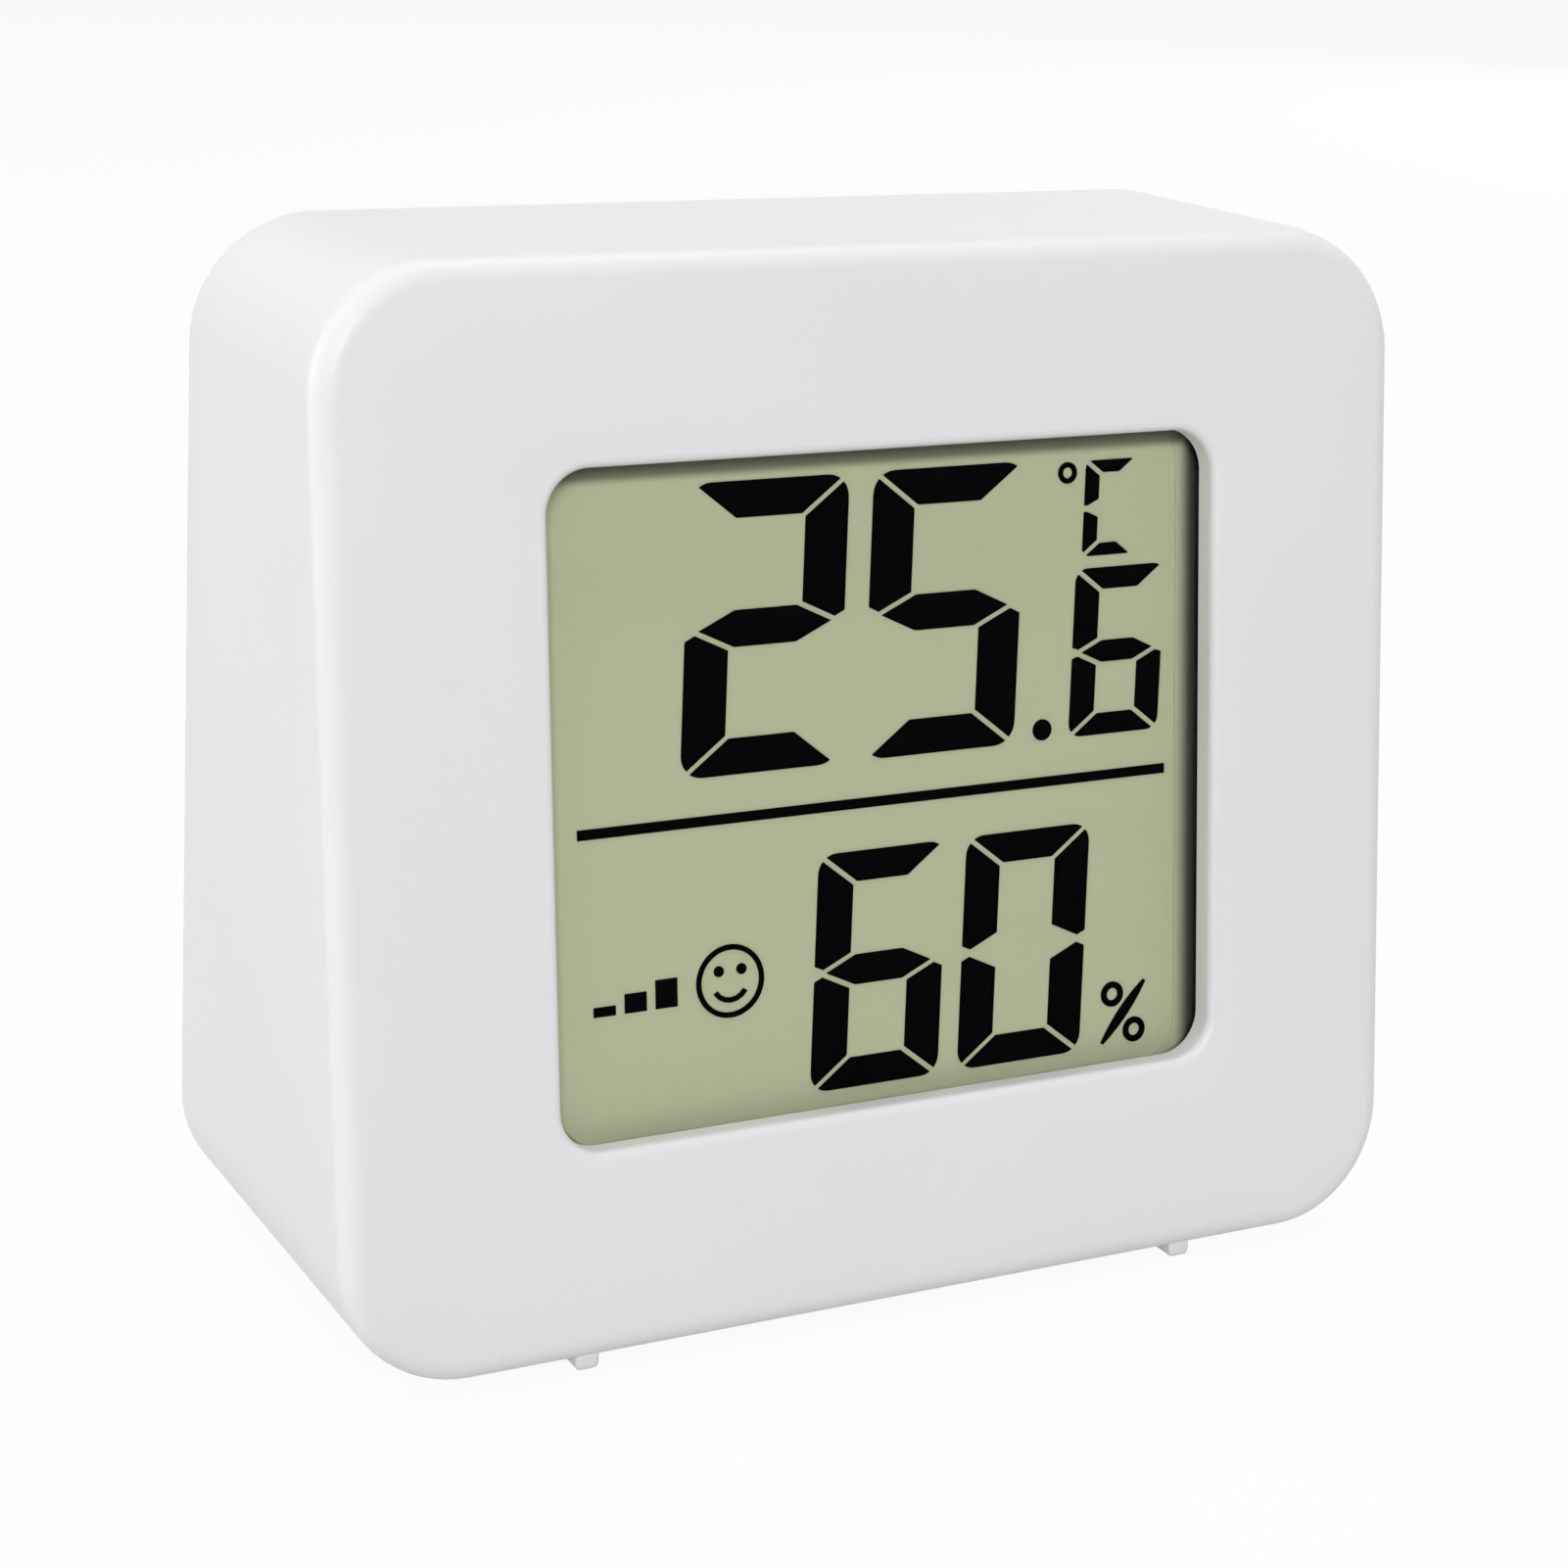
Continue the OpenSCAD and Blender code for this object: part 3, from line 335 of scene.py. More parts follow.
@dataclass(frozen=True)
class MouldedPlastic:
    """Moulded plastic with a fine satin grain and a slow drift of its colour."""

    name: str
    colour: Colour
    roughness: float = 0.42
    specular: float = 0.32
    grain: float = 0.14
    relief: float = 0.003
    drift: float = 0.012
    drift_span: float = 14.0
    spread: float = 0.05

    def material(self) -> bpy.types.Material:
        """Build the finish.

        Returns:
            The material.
        """
        sheet = NodeSheet(self.name)
        grain = sheet.noise(self.grain, detail=3)
        drift = sheet.noise(self.drift_span)
        sheet.blend(drift, tinted(self.colour, -self.drift), tinted(self.colour, self.drift))
        sheet.roughen(grain, self.roughness - self.spread, self.roughness + self.spread)
        sheet.emboss(grain, self.relief)
        sheet.set(Specular_IOR_Level=self.specular)
        return sheet.material


@dataclass(frozen=True)
class PlatedMetal:
    """Plated or drawn metal with fine brush lines."""

    name: str
    colour: Colour
    roughness: float = 0.28
    brush: Vector = (1, 1, 12)
    grain: float = 0.6
    relief: float = 0.002
    shades: tuple[float, float] = (-0.08, 0.04)
    spread: tuple[float, float] = (-0.08, 0.1)

    def material(self) -> bpy.types.Material:
        """Build the finish.

        Returns:
            The material.
        """
        sheet = NodeSheet(self.name)
        lines = sheet.noise(self.grain, detail=4, stretch=self.brush)
        sheet.blend(lines, *(tinted(self.colour, shade) for shade in self.shades))
        sheet.roughen(lines, *(self.roughness + step for step in self.spread))
        sheet.emboss(lines, self.relief)
        sheet.set(Metallic=1.0)
        return sheet.material


@dataclass(frozen=True)
class ClearSheet:
    """A clear film or glass that only dims what lies behind it a little."""

    name: str
    tint: Colour = (0.02, 0.022, 0.02)
    alpha: float = 0.008
    roughness: float = 0.3
    grain: float = 0.2
    haze: float = 0.3
    spread: float = 0.04

    def material(self) -> bpy.types.Material:
        """Build the finish.

        Returns:
            The material.
        """
        sheet = NodeSheet(self.name)
        haze = sheet.noise(self.grain)
        sheet.blend(haze, self.tint, tinted(self.tint, self.haze))
        sheet.roughen(haze, self.roughness - self.spread, self.roughness + self.spread)
        sheet.set(Alpha=self.alpha)
        return sheet.material


@dataclass(frozen=True)
class FlatLayer:
    """A thin even layer, such as ink, film or lacquer, with a faint speckle."""

    name: str
    colour: Colour
    roughness: float = 0.6
    speckle: float = 0.03
    grain: float = 0.25
    specular: float = 0.2
    spread: float = 0.05

    def material(self) -> bpy.types.Material:
        """Build the finish.

        Returns:
            The material.
        """
        sheet = NodeSheet(self.name)
        speckle = sheet.noise(self.grain, detail=3)
        sheet.blend(speckle, tinted(self.colour, -self.speckle), tinted(self.colour, self.speckle))
        sheet.roughen(speckle, self.roughness - self.spread, self.roughness + self.spread)
        sheet.set(Specular_IOR_Level=self.specular)
        return sheet.material


@dataclass(frozen=True)
class GroundWithPaintedShade:
    """The display's grey-green ground, with painted shade toward its sides and top where it goes behind the
    case.

    Painted shade: it darkens between the two distances of sides, sideways from the middle, and between the
    two of upper, along the leaning face from the origin, there only by its share.
    """

    name: str
    clear: Colour = (0.508, 0.564, 0.362)
    painted_shade: Colour = (0.06, 0.063, 0.056)
    sides: tuple[float, float] = (12.8, 13.55)
    upper: tuple[float, float] = (30.1, 30.5)
    upper_share: float = 0.6
    lean: float = 6.0
    grain: float = 0.25
    roughness: tuple[float, float] = (0.55, 0.65)

    def material(self) -> bpy.types.Material:
        """Build the finish.

        Returns:
            The material.
        """
        sheet = NodeSheet(self.name)
        tip = np.radians(self.lean)
        # painted shade: the ground is darkened toward the window's top and sides, where the case's edge
        # shades it
        painted_shade_mask = sheet.beyond((0, np.sin(tip), np.cos(tip)), *self.upper, self.upper_share)
        for side in Side:
            painted_shade_mask = sheet.larger(painted_shade_mask, sheet.beyond((side.value, 0, 0), *self.sides))
        sheet.blend(painted_shade_mask, self.clear, self.painted_shade, (0.0, 1.0))
        sheet.roughen(sheet.noise(self.grain, detail=3), *self.roughness)
        sheet.set(Specular_IOR_Level=0.0)
        return sheet.material


@dataclass(frozen=True)
class BandedRubber:
    """Elastomer with its thin carbon layers between clear ones."""

    name: str
    clear: Colour = (0.62, 0.6, 0.55)
    carbon: Colour = (0.03, 0.03, 0.03)
    pitch: float = 0.18
    grain: float = 0.3
    roughness: tuple[float, float] = (0.5, 0.65)

    def material(self) -> bpy.types.Material:
        """Build the finish.

        Returns:
            The material.
        """
        sheet = NodeSheet(self.name)
        sheet.blend(sheet.stripes(self.pitch, "X"), self.carbon, self.clear)
        sheet.roughen(sheet.noise(self.grain), *self.roughness)
        return sheet.material


def dress(finish: bpy.types.Material, *nodes: str) -> None:
    """Give CAD nodes a finish.

    Args:
        finish: The material.
        nodes: Names of the nodes.
    """
    for node in nodes:
        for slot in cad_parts[node].material_slots:
            slot.material = finish
        LOG.info("dressed %s with %s", node, finish.name)


def ease_edges(width: float, crease: float, *nodes: str) -> None:
    """Round the edges of CAD nodes by modifiers that leave their meshes as they are.

    Args:
        width: Width of the rounded edge in millimetres.
        crease: Angle in degrees past which an edge is rounded.
        nodes: Names of the nodes.
    """
    for node in nodes:
        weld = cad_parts[node].modifiers.new("join_triangles", "WELD")
        weld.merge_threshold = MERGE
        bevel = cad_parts[node].modifiers.new("ease_edges", "BEVEL")
        bevel.width = width * METRE
        bevel.segments = 2
        bevel.limit_method = "ANGLE"
        bevel.angle_limit = np.radians(crease)
        bevel.harden_normals = True


def set_piece(piece: bpy.types.Object, finish: bpy.types.Material, body: Body) -> None:
    """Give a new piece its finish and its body.

    Args:
        piece: The piece.
        finish: The material.
        body: The body that carries it.
    """
    piece.data.materials.append(finish)
    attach(piece, body.value)
    LOG.info("built %s on %s", piece.name, body.value)


@dataclass
class Wedge:
    """The wedge that the case is cut from: two leaning faces between straight sides."""

    width: float = 43.0
    height: float = 38.5
    base_depth: float = 20.0
    front_lean: float = 6.0
    rear_lean: float = 3.8
    corner_r: float = 4.6
    front_y: float = -10.005861
    floor_gap: float = 0.5

    @property
    def rear_y(self) -> float:
        """Where the rear face meets the plane of the base."""
        return self.front_y + self.base_depth

    @property
    def front_normal(self) -> np.ndarray:
        """Outward normal of the front face."""
        lean = np.radians(self.front_lean)
        return np.array([0, -np.cos(lean), np.sin(lean)])

    @property
    def rear_normal(self) -> np.ndarray:
        """Outward normal of the rear face."""
        lean = np.radians(self.rear_lean)
        return np.array([0, np.cos(lean), np.sin(lean)])

    def on_front(self, x: np.ndarray, depth: np.ndarray, rise: np.ndarray) -> np.ndarray:
        """Place points by x, depth behind the front face and height up it.

        Args:
            x: Sideways places.
            depth: Depths behind the face.
            rise: Heights up the face from its lower edge.

        Returns:
            The points: the face's lower edge, less depth times its normal, plus rise times its slope.
        """
        cos, sin = np.cos(np.radians(self.front_lean)), np.sin(np.radians(self.front_lean))
        y = self.front_y + depth * cos + rise * sin
        z = self.floor_gap - depth * sin + rise * cos
        return np.stack(np.broadcast_arrays(x, y, z), axis=-1)

    def on_rear(self, x: np.ndarray, out: np.ndarray, rise: np.ndarray) -> np.ndarray:
        """Place points by x, distance out of the rear face and height up it.

        Args:
            x: Sideways places.
            out: Distances out of the face, negative inside the case.
            rise: Heights up the face from its lower edge.

        Returns:
            The points: the face's lower edge, plus out times its normal, plus rise times its slope.
        """
        cos, sin = np.cos(np.radians(self.rear_lean)), np.sin(np.radians(self.rear_lean))
        y = self.rear_y + out * cos - rise * sin
        z = self.floor_gap + out * sin + rise * cos
        return np.stack(np.broadcast_arrays(x, y, z), axis=-1)

    def outline(self, inset: float) -> tuple[np.ndarray, np.ndarray]:
        """Sample the case outline in x and z, set in from the outside.

        Args:
            inset: Distance inside the outline.

        Returns:
            The points with y left at zero, and the outward normals, as rows of three.
        """
        half = (self.width / 2 - inset, self.height / 2 - inset)
        flat, normal = rounded_loop(half, self.corner_r - inset)
        points = np.stack([flat[:, 0], 0 * flat[:, 0], flat[:, 1]], axis=-1)
        points[:, 2] += self.floor_gap + self.height / 2
        return points, np.stack([normal[:, 0], 0 * normal[:, 0], normal[:, 1]], axis=-1)

    def at_front(self, inset: float, depth: float) -> np.ndarray:
        """Carry the inset outline to a depth behind the front face.

        Args:
            inset: Distance inside the outline.
            depth: Depth behind the front face.

        Returns:
            The loop of points, each moved along y onto the leaning plane.
        """
        points, _ = self.outline(inset)
        lean = np.radians(self.front_lean)
        rise = points[:, 2] - self.floor_gap
        points[:, 1] = self.front_y + (depth + rise * np.sin(lean)) / np.cos(lean)
        return points

    def at_rear(self, inset: float, depth: float) -> np.ndarray:
        """Carry the inset outline to a depth ahead of the rear face.

        Args:
            inset: Distance inside the outline.
            depth: Depth ahead of the rear face.

        Returns:
            The loop of points, each moved along y onto the leaning plane.
        """
        points, _ = self.outline(inset)
        lean = np.radians(self.rear_lean)
        rise = points[:, 2] - self.floor_gap
        points[:, 1] = self.rear_y - (depth + rise * np.sin(lean)) / np.cos(lean)
        return points


def rolled_edge(
    middles: np.ndarray, first: np.ndarray, last: np.ndarray, radius: float, steps: int = 10
) -> np.ndarray:
    """Roll a ball round an edge: its middle plus its radius times a normal swung from face to face.

    Args:
        middles: Middle of the ball at each point of the edge.
        first: Normal of the face that it leaves, for each point.
        last: Normal of the face that it reaches, for each point.
        radius: Radius of the ball.
        steps: Steps of the swing.

    Returns:
        Rows of points, from the first face to the last.
    """
    cosine = np.clip((first * last).sum(axis=1), -1, 1)
    swing = np.arccos(cosine)[None, :, None]
    share = np.linspace(0, 1, steps + 1)[:, None, None]
    normal = (np.sin((1 - share) * swing) * first + np.sin(share * swing) * last) / np.sin(swing)
    return middles + radius * normal


def rows_between(start: np.ndarray, end: np.ndarray, steps: int) -> np.ndarray:
    """Set rows evenly between two loops, both ends left out.

    Args:
        start: Loop before the rows.
        end: Loop after the rows.
        steps: Steps from one loop to the other.

    Returns:
        The rows between the loops.
    """
    share = (np.arange(1, steps) / steps)[:, None, None]
    return start * (1 - share) + end * share


@dataclass
class Housing:
    """Front face, walls and runners in one white moulding, with its screw bosses."""

    wedge: Wedge
    front_edge_r: float = 0.9
    rear_edge_r: float = 1.05
    rim_ease: float = 0.1
    front_wall: float = 1.0
    side_wall: float = 1.8
    rim_wall: float = 1.2
    cover_t: float = 2.4
    window: tuple[float, float] = (26.7, 23.9)
    window_rise: float = 19.556
    window_r: float = 1.6
    window_edge: float = 0.35
    runner_x: float = 12.4
    runner_w: float = 0.9
    runner_top: float = 1.4
    runner_ease: float = 0.14
    runner_ends: tuple[float, float] = (0.6, 18.6)
    board_boss: tuple[float, float] = (17.25, 8.5)
    board_boss_r: float = 1.8
    board_bore_r: float = 0.8
    board_bore_l: float = 3.5
    board_depth: float = 5.15
    cover_boss_x: float = 17.5
    cover_boss_rise: tuple[float, float] = (5.612, 33.975)
    cover_boss_r: float = 1.9
    cover_bore_r: float = 1.0
    cover_bore_l: float = 6.0
    crease: float = 35.0
    runner_crease: float = 50.0
    edge_steps: int = 6
    runner_steps: int = 4
    face_rows: int = 4
    side_rows: int = 8
    inner_rows: int = 4

    def window_loop(self, grow: float, depth: float) -> np.ndarray:
        """Sample the window's outline, grown and set at a depth behind the front face.

        Args:
            grow: Distance outside the window's edge.
            depth: Depth behind the front face.

        Returns:
            The loop of points.
        """
        half = (self.window[0] / 2 + grow, self.window[1] / 2 + grow)
        flat, _ = rounded_loop(half, self.window_r + grow)
        return self.wedge.on_front(flat[:, 0], depth, self.window_rise + flat[:, 1])

    def shell(self) -> bpy.types.Object:
        """Build the case wall as one closed band: window, face, side, rim and back along the inside.

        Every row is a loop round the case. The outer edges are a ball rolled round the outline, the
        window's edge is a quarter round, and the rest are loops carried to the leaning planes.

        Returns:
            The shell.
        """
        case, ease = self.wedge, self.window_edge
        swing = np.radians(np.linspace(0, 90, self.edge_steps + 1))
        mouth = [self.window_loop(ease * (1 - np.cos(a)), ease * (1 - np.sin(a))) for a in swing]
        _, side = case.outline(0)
        ball = case.at_front(self.front_edge_r, self.front_edge_r)
        front = rolled_edge(ball, np.broadcast_to(case.front_normal, side.shape), side, self.front_edge_r)
        ball = case.at_rear(self.rear_edge_r, self.rear_edge_r)
        rear = rolled_edge(ball, side, np.broadcast_to(case.rear_normal, side.shape), self.rear_edge_r)
        rim = [
            case.at_rear(
                self.rim_wall - self.rim_ease * (1 - np.sin(a)), self.rim_ease * (1 - np.cos(a))
            )
            for a in swing
        ]
        ledge = [case.at_rear(self.rim_wall, self.cover_t), case.at_rear(self.side_wall, self.cover_t)]
        inner = case.at_front(self.side_wall, self.front_wall)
        throat = self.window_loop(0, self.front_wall)
        rows = np.concatenate([
            throat[None],
            np.array(mouth),
            rows_between(mouth[-1], front[0], self.face_rows),
            front,
            rows_between(front[-1], rear[0], self.side_rows),
            rear,
            np.array(rim),
            np.array(ledge),
            rows_between(ledge[-1], inner, self.inner_rows),
            inner[None],
        ])
        count, columns = rows.shape[:2]
        return link_mesh("housing_shell", rows.reshape(-1, 3), grid_faces(count, columns, True), self.crease)

    def runner(self, side: Side) -> bpy.types.Object:
        """Build one runner under the base: a bar with rounded edges, sunk into the wall above.

        Its rows are rounded loops in x and z carried from front to rear, drawn in by a quarter
        round at each end.

        Args:
            side: Which side of the case it is on.

        Returns:
            The runner.
        """
        swing = np.radians(np.linspace(0, 90, self.runner_steps + 1))
        start, end = self.wedge.front_y + np.array(self.runner_ends)
        inset = self.runner_ease * (1 - np.sin(swing))
        along = self.runner_ease * (1 - np.cos(swing))
        half = np.array([self.runner_w, self.runner_top]) / 2
        places = [*zip(start + along, inset), *zip((end - along)[::-1], inset[::-1])]
        corner_r = self.runner_ease * 1.5
        flat = [
            rounded_loop(tuple(half - i), corner_r - i, arc_steps=self.runner_steps, edge_steps=1)[0]
            for _, i in places
        ]
        rows = np.array([
            np.stack([f[:, 0] + side.value * self.runner_x, 0 * f[:, 0] + y, f[:, 1] + half[1]], axis=-1)
            for f, (y, _) in zip(flat, places)
        ])
        caps = rows.mean(axis=1, keepdims=True) * np.ones_like(rows)
        rows = np.concatenate([caps[:1], rows, caps[-1:]])
        faces = grid_faces(rows.shape[0], rows.shape[1], False)
        name = f"housing_runner_{side.name.lower()}"
        return link_mesh(name, rows.reshape(-1, 3), faces, self.runner_crease)

    def bosses(self) -> bpy.types.Object:
        """Build the eight screw bosses as turned tubes standing on the front wall's inner side.

        Returns:
            The bosses in one piece.
        """
        sunk, floor = self.front_wall / 2, self.board_depth - self.board_bore_l
        board = self.tube(self.board_boss_r, self.board_bore_r, sunk, self.board_depth, floor)
        grids = [
            self.wedge.on_front(
                board[..., 0] + x.value * self.board_boss[0],
                board[..., 1],
                board[..., 2] + self.window_rise + z.value * self.board_boss[1],
            )
            for x in Side
            for z in Side
        ]
        for x in Side:
            for rise in self.cover_boss_rise:
                length, floor = self.boss_length(rise), -self.cover_t - self.cover_bore_l
                tube = self.tube(self.cover_boss_r, self.cover_bore_r, -length, -self.cover_t, floor)
                grids.append(self.wedge.on_rear(
                    tube[..., 0] + x.value * self.cover_boss_x, tube[..., 1], tube[..., 2] + rise
                ))
        rows, columns = grids[0].shape[:2]
        faces = grid_faces(rows, columns, False)
        stacked = np.concatenate([faces + i * rows * columns for i in range(len(grids))])
        points = np.concatenate([g.reshape(-1, 3) for g in grids])
        return link_mesh("housing_bosses", points, stacked, self.crease)

    def boss_length(self, rise: float) -> float:
        """Distance ahead of the rear face at which a cover boss meets the middle of the front wall.

        Args:
            rise: Height of the boss up the rear face.

        Returns:
            The distance along the rear face's normal.
        """
        case = self.wedge
        start = case.on_rear(0.0, 0.0, rise)
        lower = case.on_front(0.0, self.front_wall / 2, 0.0)
        return float(np.dot(start - lower, case.front_normal) / np.dot(case.rear_normal, case.front_normal))

    @staticmethod
    def tube(
        outer: float, bore: float, low: float, high: float, bore_low: float, steps: int = 40
    ) -> np.ndarray:
        """Turn a boss with a blind bore: up its outside, over its rim and down into its bore.

        Args:
            outer: Outer radius.
            bore: Radius of the bore.
            low: Height of the closed end.
            high: Height of the open end.
            bore_low: Height of the bore's floor.
            steps: Steps round the axis.

        Returns:
            A grid of points, profile by angle.
        """
        profile = [(0, low), (outer, low), (outer, high), (bore, high), (bore, bore_low), (0, bore_low)]
        return turned(np.array(profile, dtype=float), steps)

    def build(self, finish: bpy.types.Material) -> None:
        """Build the moulding and let it stand for its CAD node.

        Args:
            finish: The case plastic.
        """
        pieces = [self.shell(), *(self.runner(side) for side in Side), self.bosses()]
        for piece in pieces:
            set_piece(piece, finish, Body.CASE)
            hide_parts("front_housing")


@dataclass
class UnitButton:
    """The grey press button in the rear cover."""

    wedge: Wedge
    x: float = 16.9
    rise: float = 19.0
    radius: float = 2.0
    proud: float = 0.4
    dome: float = 0.12
    edge_r: float = 0.3
    flange_r: float = 2.6
    flange: tuple[float, float] = (-3.3, -2.5)
    stem_r: float = 1.2
    stem_end: float = -6.349
    stem_slope: float = 0.1727
    crease: float = 40.0

    def build(self, finish: bpy.types.Material) -> None:
        """Turn the button: a stem, a flange, the cap's wall and a slightly domed top.

        The stem's end is tipped to lie flat on the switch: its height grows by the slope times z.

        Args:
            finish: The button plastic.
        """
        rim = self.radius - self.edge_r
        shoulder = self.proud - self.dome - self.edge_r
        share = np.linspace(1, 0, 8)[1:]
        crown = np.stack([rim * share, self.proud - self.dome * share**2], axis=-1)
        profile = np.concatenate([
            [(0, self.stem_end), (self.stem_r, self.stem_end), (self.stem_r, self.flange[0])],
            [(self.flange_r, self.flange[0]), (self.flange_r, self.flange[1]), (self.radius, self.flange[1])],
            arc((rim, shoulder), self.edge_r, 0, 90),
            crown,
        ])
        grid = turned(profile)
        grid[:2, :, 1] += self.stem_slope * grid[:2, :, 2]
        points = self.wedge.on_rear(grid[..., 0] + self.x, grid[..., 1], grid[..., 2] + self.rise)
        faces = grid_faces(*grid.shape[:2], False)
        piece = link_mesh("button_cap", points.reshape(-1, 3), faces, self.crease)
        set_piece(piece, finish, Body.BUTTON)
        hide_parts("unit_button")


@dataclass
class DisplayStack:
    """The display behind the window, from its front film to its frame."""

    film: ClearSheet = ClearSheet("film_clear", roughness=0.35)
    glass: ClearSheet = ClearSheet("glass_clear", roughness=0.12)
    ink: FlatLayer = FlatLayer("segment_black", (0.002, 0.002, 0.0026), speckle=0.2, specular=0.0)
    # the seal and the ground both carry painted shade toward the window's sides and top
    seal: GroundWithPaintedShade = GroundWithPaintedShade("seal_grey")
    ground: GroundWithPaintedShade = GroundWithPaintedShade("display_ground_painted_shade")
    reflector: FlatLayer = FlatLayer("reflector_green", (0.45, 0.5, 0.32))
    frame_plastic: MouldedPlastic = MouldedPlastic("frame_white", (0.72, 0.72, 0.7))
    zebra: BandedRubber = BandedRubber("zebra_rubber")

    def build(self) -> None:
        """Dress every layer of the display."""
        dress(self.film.material(), "front_polariser")
        dress(self.glass.material(), "front_glass")
        dress(self.ink.material(), "display_segments")
        dress(self.seal.material(), "crystal_seal")
        dress(self.ground.material(), "rear_glass")
        dress(self.reflector.material(), "reflector_film")
        dress(self.frame_plastic.material(), "display_frame")
        dress(self.zebra.material(), "zebra_strip_upper", "zebra_strip_lower")


@dataclass
class RearSide:
    """The rear cover with its door, and the screws that hold it."""

    steel: PlatedMetal = PlatedMetal("steel", (0.62, 0.61, 0.59))
    edge: float = 0.12
    crease: float = 40.0

    def build(self, finish: bpy.types.Material) -> None:
        """Dress the cover, the door and the screws, and ease their edges.

        Args:
            finish: The case plastic.
        """
        dress(finish, "rear_cover", "battery_door")
        dress(self.steel.material(), "cover_screws", "board_screws", "switch_plate")
        ease_edges(self.edge, self.crease, "rear_cover", "battery_door")


@dataclass
class Electronics:
    """The board with its parts, and the press switch."""

    board: FlatLayer = FlatLayer("board_green", (0.02, 0.12, 0.045), roughness=0.35, speckle=0.15, grain=1.2)
    resin: MouldedPlastic = MouldedPlastic("resin_black", (0.012, 0.012, 0.013), roughness=0.25)
    quartz: PlatedMetal = PlatedMetal("quartz_steel", (0.7, 0.69, 0.66), roughness=0.2)
    tin: PlatedMetal = PlatedMetal("lead_tin", (0.66, 0.66, 0.65), roughness=0.3)
    capacitor: MouldedPlastic = MouldedPlastic("capacitor_tan", (0.42, 0.27, 0.14), roughness=0.5)
    resistor: MouldedPlastic = MouldedPlastic("resistor_black", (0.015, 0.015, 0.017), roughness=0.4)
    ceramic: MouldedPlastic = MouldedPlastic("ceramic_white", (0.75, 0.74, 0.7), roughness=0.55)
    switch: MouldedPlastic = MouldedPlastic("switch_plastic", (0.05, 0.05, 0.052))
    plunger: MouldedPlastic = MouldedPlastic("plunger_black", (0.01, 0.01, 0.011))

    def build(self) -> None:
        """Dress every part on the board."""
        dress(self.board.material(), "main_board")
        dress(self.resin.material(), "chip_resin", "thermistor_bead")
        dress(self.quartz.material(), "quartz_can")
        dress(self.tin.material(), "quartz_leads", "humidity_leads", "thermistor_leads")
        dress(self.capacitor.material(), "chip_capacitors")
        dress(self.resistor.material(), "chip_resistors")
        dress(self.ceramic.material(), "humidity_plate")
        dress(self.switch.material(), "switch_body")
        dress(self.plunger.material(), "switch_plunger")


@dataclass
class CoinCell:
    """The coin cell with its gasket, and the strips that touch it."""

    can: PlatedMetal = PlatedMetal("cell_steel", (0.66, 0.65, 0.63), roughness=0.25)
    cap: PlatedMetal = PlatedMetal("cell_cap_metal", (0.6, 0.59, 0.57), roughness=0.33)
    gasket: MouldedPlastic = MouldedPlastic("gasket_black", (0.02, 0.02, 0.02))
    strip: PlatedMetal = PlatedMetal("contact_brass", (0.72, 0.6, 0.36), roughness=0.3)

    def build(self) -> None:
        """Dress the cell and its contacts."""
        dress(self.can.material(), "cell_can")
        dress(self.cap.material(), "cell_cap")
        dress(self.gasket.material(), "cell_gasket")
        dress(self.strip.material(), "positive_contact", "negative_contact")


@dataclass
class PhotoCamera:
    """A camera that stands and looks as the photograph's does."""

    image_px: float = 1601.0
    focal_px: float = 3471.585
    middle_px: tuple[float, float] = (800.5, 672.0)
    eye: Vector = (-57.4098, -109.6672, 54.6181)
    yaw: float = 0.4769
    pitch: float = 0.2536
    roll: float = 0.0350
    sensor: float = 36.0
    clip: tuple[float, float] = (0.01, 20.0)

    def axes(self) -> np.ndarray:
        """Work out the camera's right, down and forward axes.

        The world is turned by the yaw, stood up so that forward is level, tipped by the pitch and
        turned in the picture by the roll.

        Returns:
            The three axes as rows.
        """
        cos, sin = np.cos([self.yaw, self.pitch, self.roll]), np.sin([self.yaw, self.pitch, self.roll])
        turn = np.array([[cos[0], -sin[0], 0], [sin[0], cos[0], 0], [0, 0, 1]])
        stand = np.array([[1, 0, 0], [0, 0, -1], [0, 1, 0]])
        tip = np.array([[1, 0, 0], [0, cos[1], -sin[1]], [0, sin[1], cos[1]]])
        spin = np.array([[cos[2], -sin[2], 0], [sin[2], cos[2], 0], [0, 0, 1]])
        return spin @ tip @ stand @ turn

    def build(self) -> None:
        """Make the camera and give it to the scene."""
        lens = bpy.data.cameras.new("photo_camera")
        lens.sensor_width = self.sensor
        lens.lens = self.focal_px / self.image_px * self.sensor
        lens.shift_x = (self.image_px / 2 - self.middle_px[0]) / self.image_px
        lens.shift_y = (self.middle_px[1] - self.image_px / 2) / self.image_px
        lens.clip_start, lens.clip_end = self.clip
        right, down, forward = self.axes()
        matrix = np.eye(4)
        matrix[:3, :3] = np.stack([right, -down, -forward], axis=-1)
        matrix[:3, 3] = np.array(self.eye) * METRE
        camera = bpy.data.objects.new("photo_camera", lens)
        camera.matrix_world = matrix.T.tolist()
        bpy.context.scene.collection.objects.link(camera)
        bpy.context.scene.camera = camera


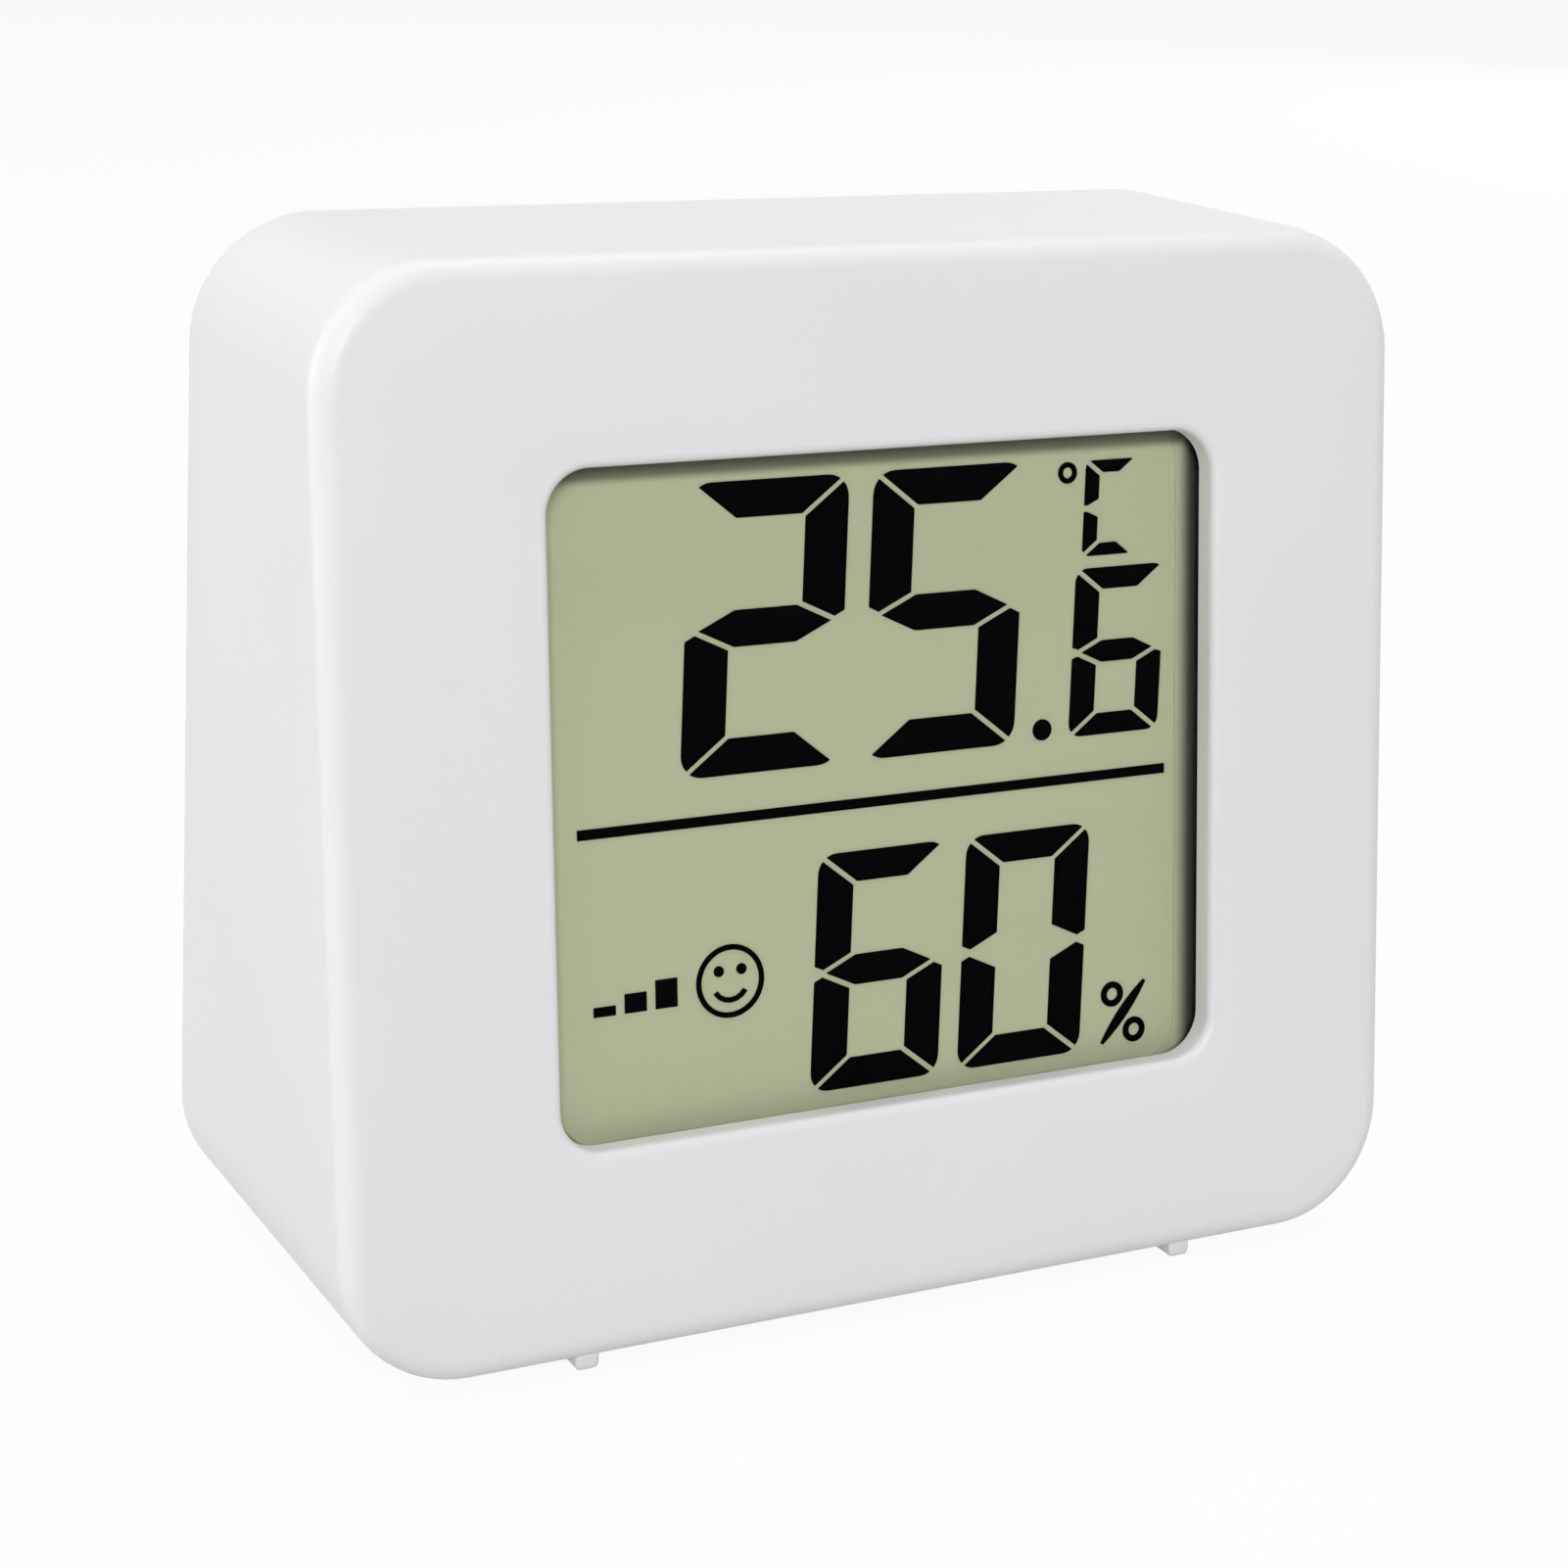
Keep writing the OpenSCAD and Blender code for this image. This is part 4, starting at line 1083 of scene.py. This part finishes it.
@dataclass(frozen=True)
class Lamp:
    """A square soft lamp that looks at the middle of the object."""

    name: str
    place: Vector
    size: float
    watts: float

    def build(self, target: np.ndarray) -> None:
        """Hang the lamp.

        Args:
            target: The point that it looks at, in millimetres.
        """
        light = bpy.data.lights.new(self.name, "AREA")
        light.size, light.energy = self.size * METRE, self.watts
        back = np.array(self.place) - target
        back /= np.linalg.norm(back)
        overhead = abs(back[2]) > 0.9
        right = np.cross([0, 1, 0] if overhead else [0, 0, 1], back)
        right /= np.linalg.norm(right)
        matrix = np.eye(4)
        matrix[:3, :3] = np.stack([right, np.cross(back, right), back], axis=-1)
        matrix[:3, 3] = np.array(self.place) * METRE
        lamp = bpy.data.objects.new(self.name, light)
        lamp.matrix_world = matrix.T.tolist()
        bpy.context.scene.collection.objects.link(lamp)


@dataclass
class Studio:
    """A plain white room: floor, world and soft lamps."""

    floor_half: float = 3000.0
    shadow_share: float = 0.08
    floor_white: float = 0.9
    floor_bounce: float = 0.55
    floor_roughness: float = 0.9
    ambient: float = 0.17
    target: Vector = (0, 0, 19)
    lamps: list[Lamp] = field(default_factory=lambda: [
        Lamp("key_lamp", (-200, -500, 255), 170, 2.0),
        Lamp("left_lamp", (-510, 170, 150), 300, 1.38),
        Lamp("top_lamp", (150, 10, 575), 300, 1.4),
        Lamp("rear_lamp", (500, 330, 125), 240, 1.2),
    ])

    @staticmethod
    def seen(tree: bpy.types.NodeTree) -> bpy.types.NodeSocket:
        """Add a switch that is one for rays from the camera, a gloss or a clear piece.

        Args:
            tree: The node tree.

        Returns:
            The switch.
        """
        path = tree.nodes.new("ShaderNodeLightPath")
        switch = path.outputs["Is Camera Ray"]
        for ray in ("Is Glossy Ray", "Is Transmission Ray"):
            either = tree.nodes.new("ShaderNodeMath")
            either.operation = "MAXIMUM"
            tree.links.new(switch, either.inputs[0])
            tree.links.new(path.outputs[ray], either.inputs[1])
            switch = either.outputs["Value"]
        return switch

    def floor(self) -> None:
        """Lay a floor that shows as white, keeps part of the shadow and throws little light back."""
        reach = self.floor_half * METRE
        mesh = bpy.data.meshes.new("floor")
        corners = [(-reach, -reach, 0), (reach, -reach, 0), (reach, reach, 0), (-reach, reach, 0)]
        mesh.from_pydata(corners, [], [(0, 1, 2, 3)])
        material = bpy.data.materials.new("floor_white")
        material.use_nodes = True
        tree = material.node_tree
        dull = tree.nodes["Principled BSDF"]
        dull.inputs["Base Color"].default_value = (self.floor_bounce,) * 3 + (1,)
        dull.inputs["Roughness"].default_value = self.floor_roughness
        dull.inputs["Specular IOR Level"].default_value = 0.0
        matte = tree.nodes.new("ShaderNodeBsdfDiffuse")
        matte.inputs["Color"].default_value = (self.floor_white,) * 3 + (1,)
        glow = tree.nodes.new("ShaderNodeEmission")
        shown = tree.nodes.new("ShaderNodeMixShader")
        shown.inputs["Fac"].default_value = 1 - self.shadow_share
        tree.links.new(matte.outputs["BSDF"], shown.inputs[1])
        tree.links.new(glow.outputs["Emission"], shown.inputs[2])
        mix = tree.nodes.new("ShaderNodeMixShader")
        tree.links.new(self.seen(tree), mix.inputs["Fac"])
        tree.links.new(dull.outputs["BSDF"], mix.inputs[1])
        tree.links.new(shown.outputs["Shader"], mix.inputs[2])
        tree.links.new(mix.outputs["Shader"], tree.nodes["Material Output"].inputs["Surface"])
        mesh.materials.append(material)
        floor = bpy.data.objects.new("floor", mesh)
        bpy.context.scene.collection.objects.link(floor)

    def world(self) -> None:
        """Fill the room with even light, and show it as white."""
        world = bpy.data.worlds.new("studio")
        world.use_nodes = True
        tree = world.node_tree
        ambient = tree.nodes["Background"]
        ambient.inputs["Color"].default_value = (1, 1, 1, 1)
        ambient.inputs["Strength"].default_value = self.ambient
        white = tree.nodes.new("ShaderNodeBackground")
        white.inputs["Color"].default_value = (1, 1, 1, 1)
        mix = tree.nodes.new("ShaderNodeMixShader")
        tree.links.new(self.seen(tree), mix.inputs["Fac"])
        tree.links.new(ambient.outputs["Background"], mix.inputs[1])
        tree.links.new(white.outputs["Background"], mix.inputs[2])
        tree.links.new(mix.outputs["Shader"], tree.nodes["World Output"].inputs["Surface"])
        bpy.context.scene.world = world

    def build(self) -> None:
        """Set up the room and hang its lamps."""
        self.floor()
        self.world()
        for lamp in self.lamps:
            lamp.build(np.array(self.target, dtype=float))
        bpy.context.scene.view_settings.view_transform = "Standard"


def main() -> None:
    """Build the studio and every sub-assembly."""
    logging.basicConfig(level=logging.INFO, format="%(name)s: %(message)s")
    PhotoCamera().build()
    Studio().build()
    wedge = Wedge()
    case_white = MouldedPlastic("case_white", (0.82, 0.82, 0.835)).material()
    button_grey = MouldedPlastic("button_grey", (0.5, 0.5, 0.51)).material()
    Housing(wedge).build(case_white)
    UnitButton(wedge).build(button_grey)
    DisplayStack().build()
    RearSide().build(case_white)
    Electronics().build()
    CoinCell().build()


if __name__ == "__main__":
    main()
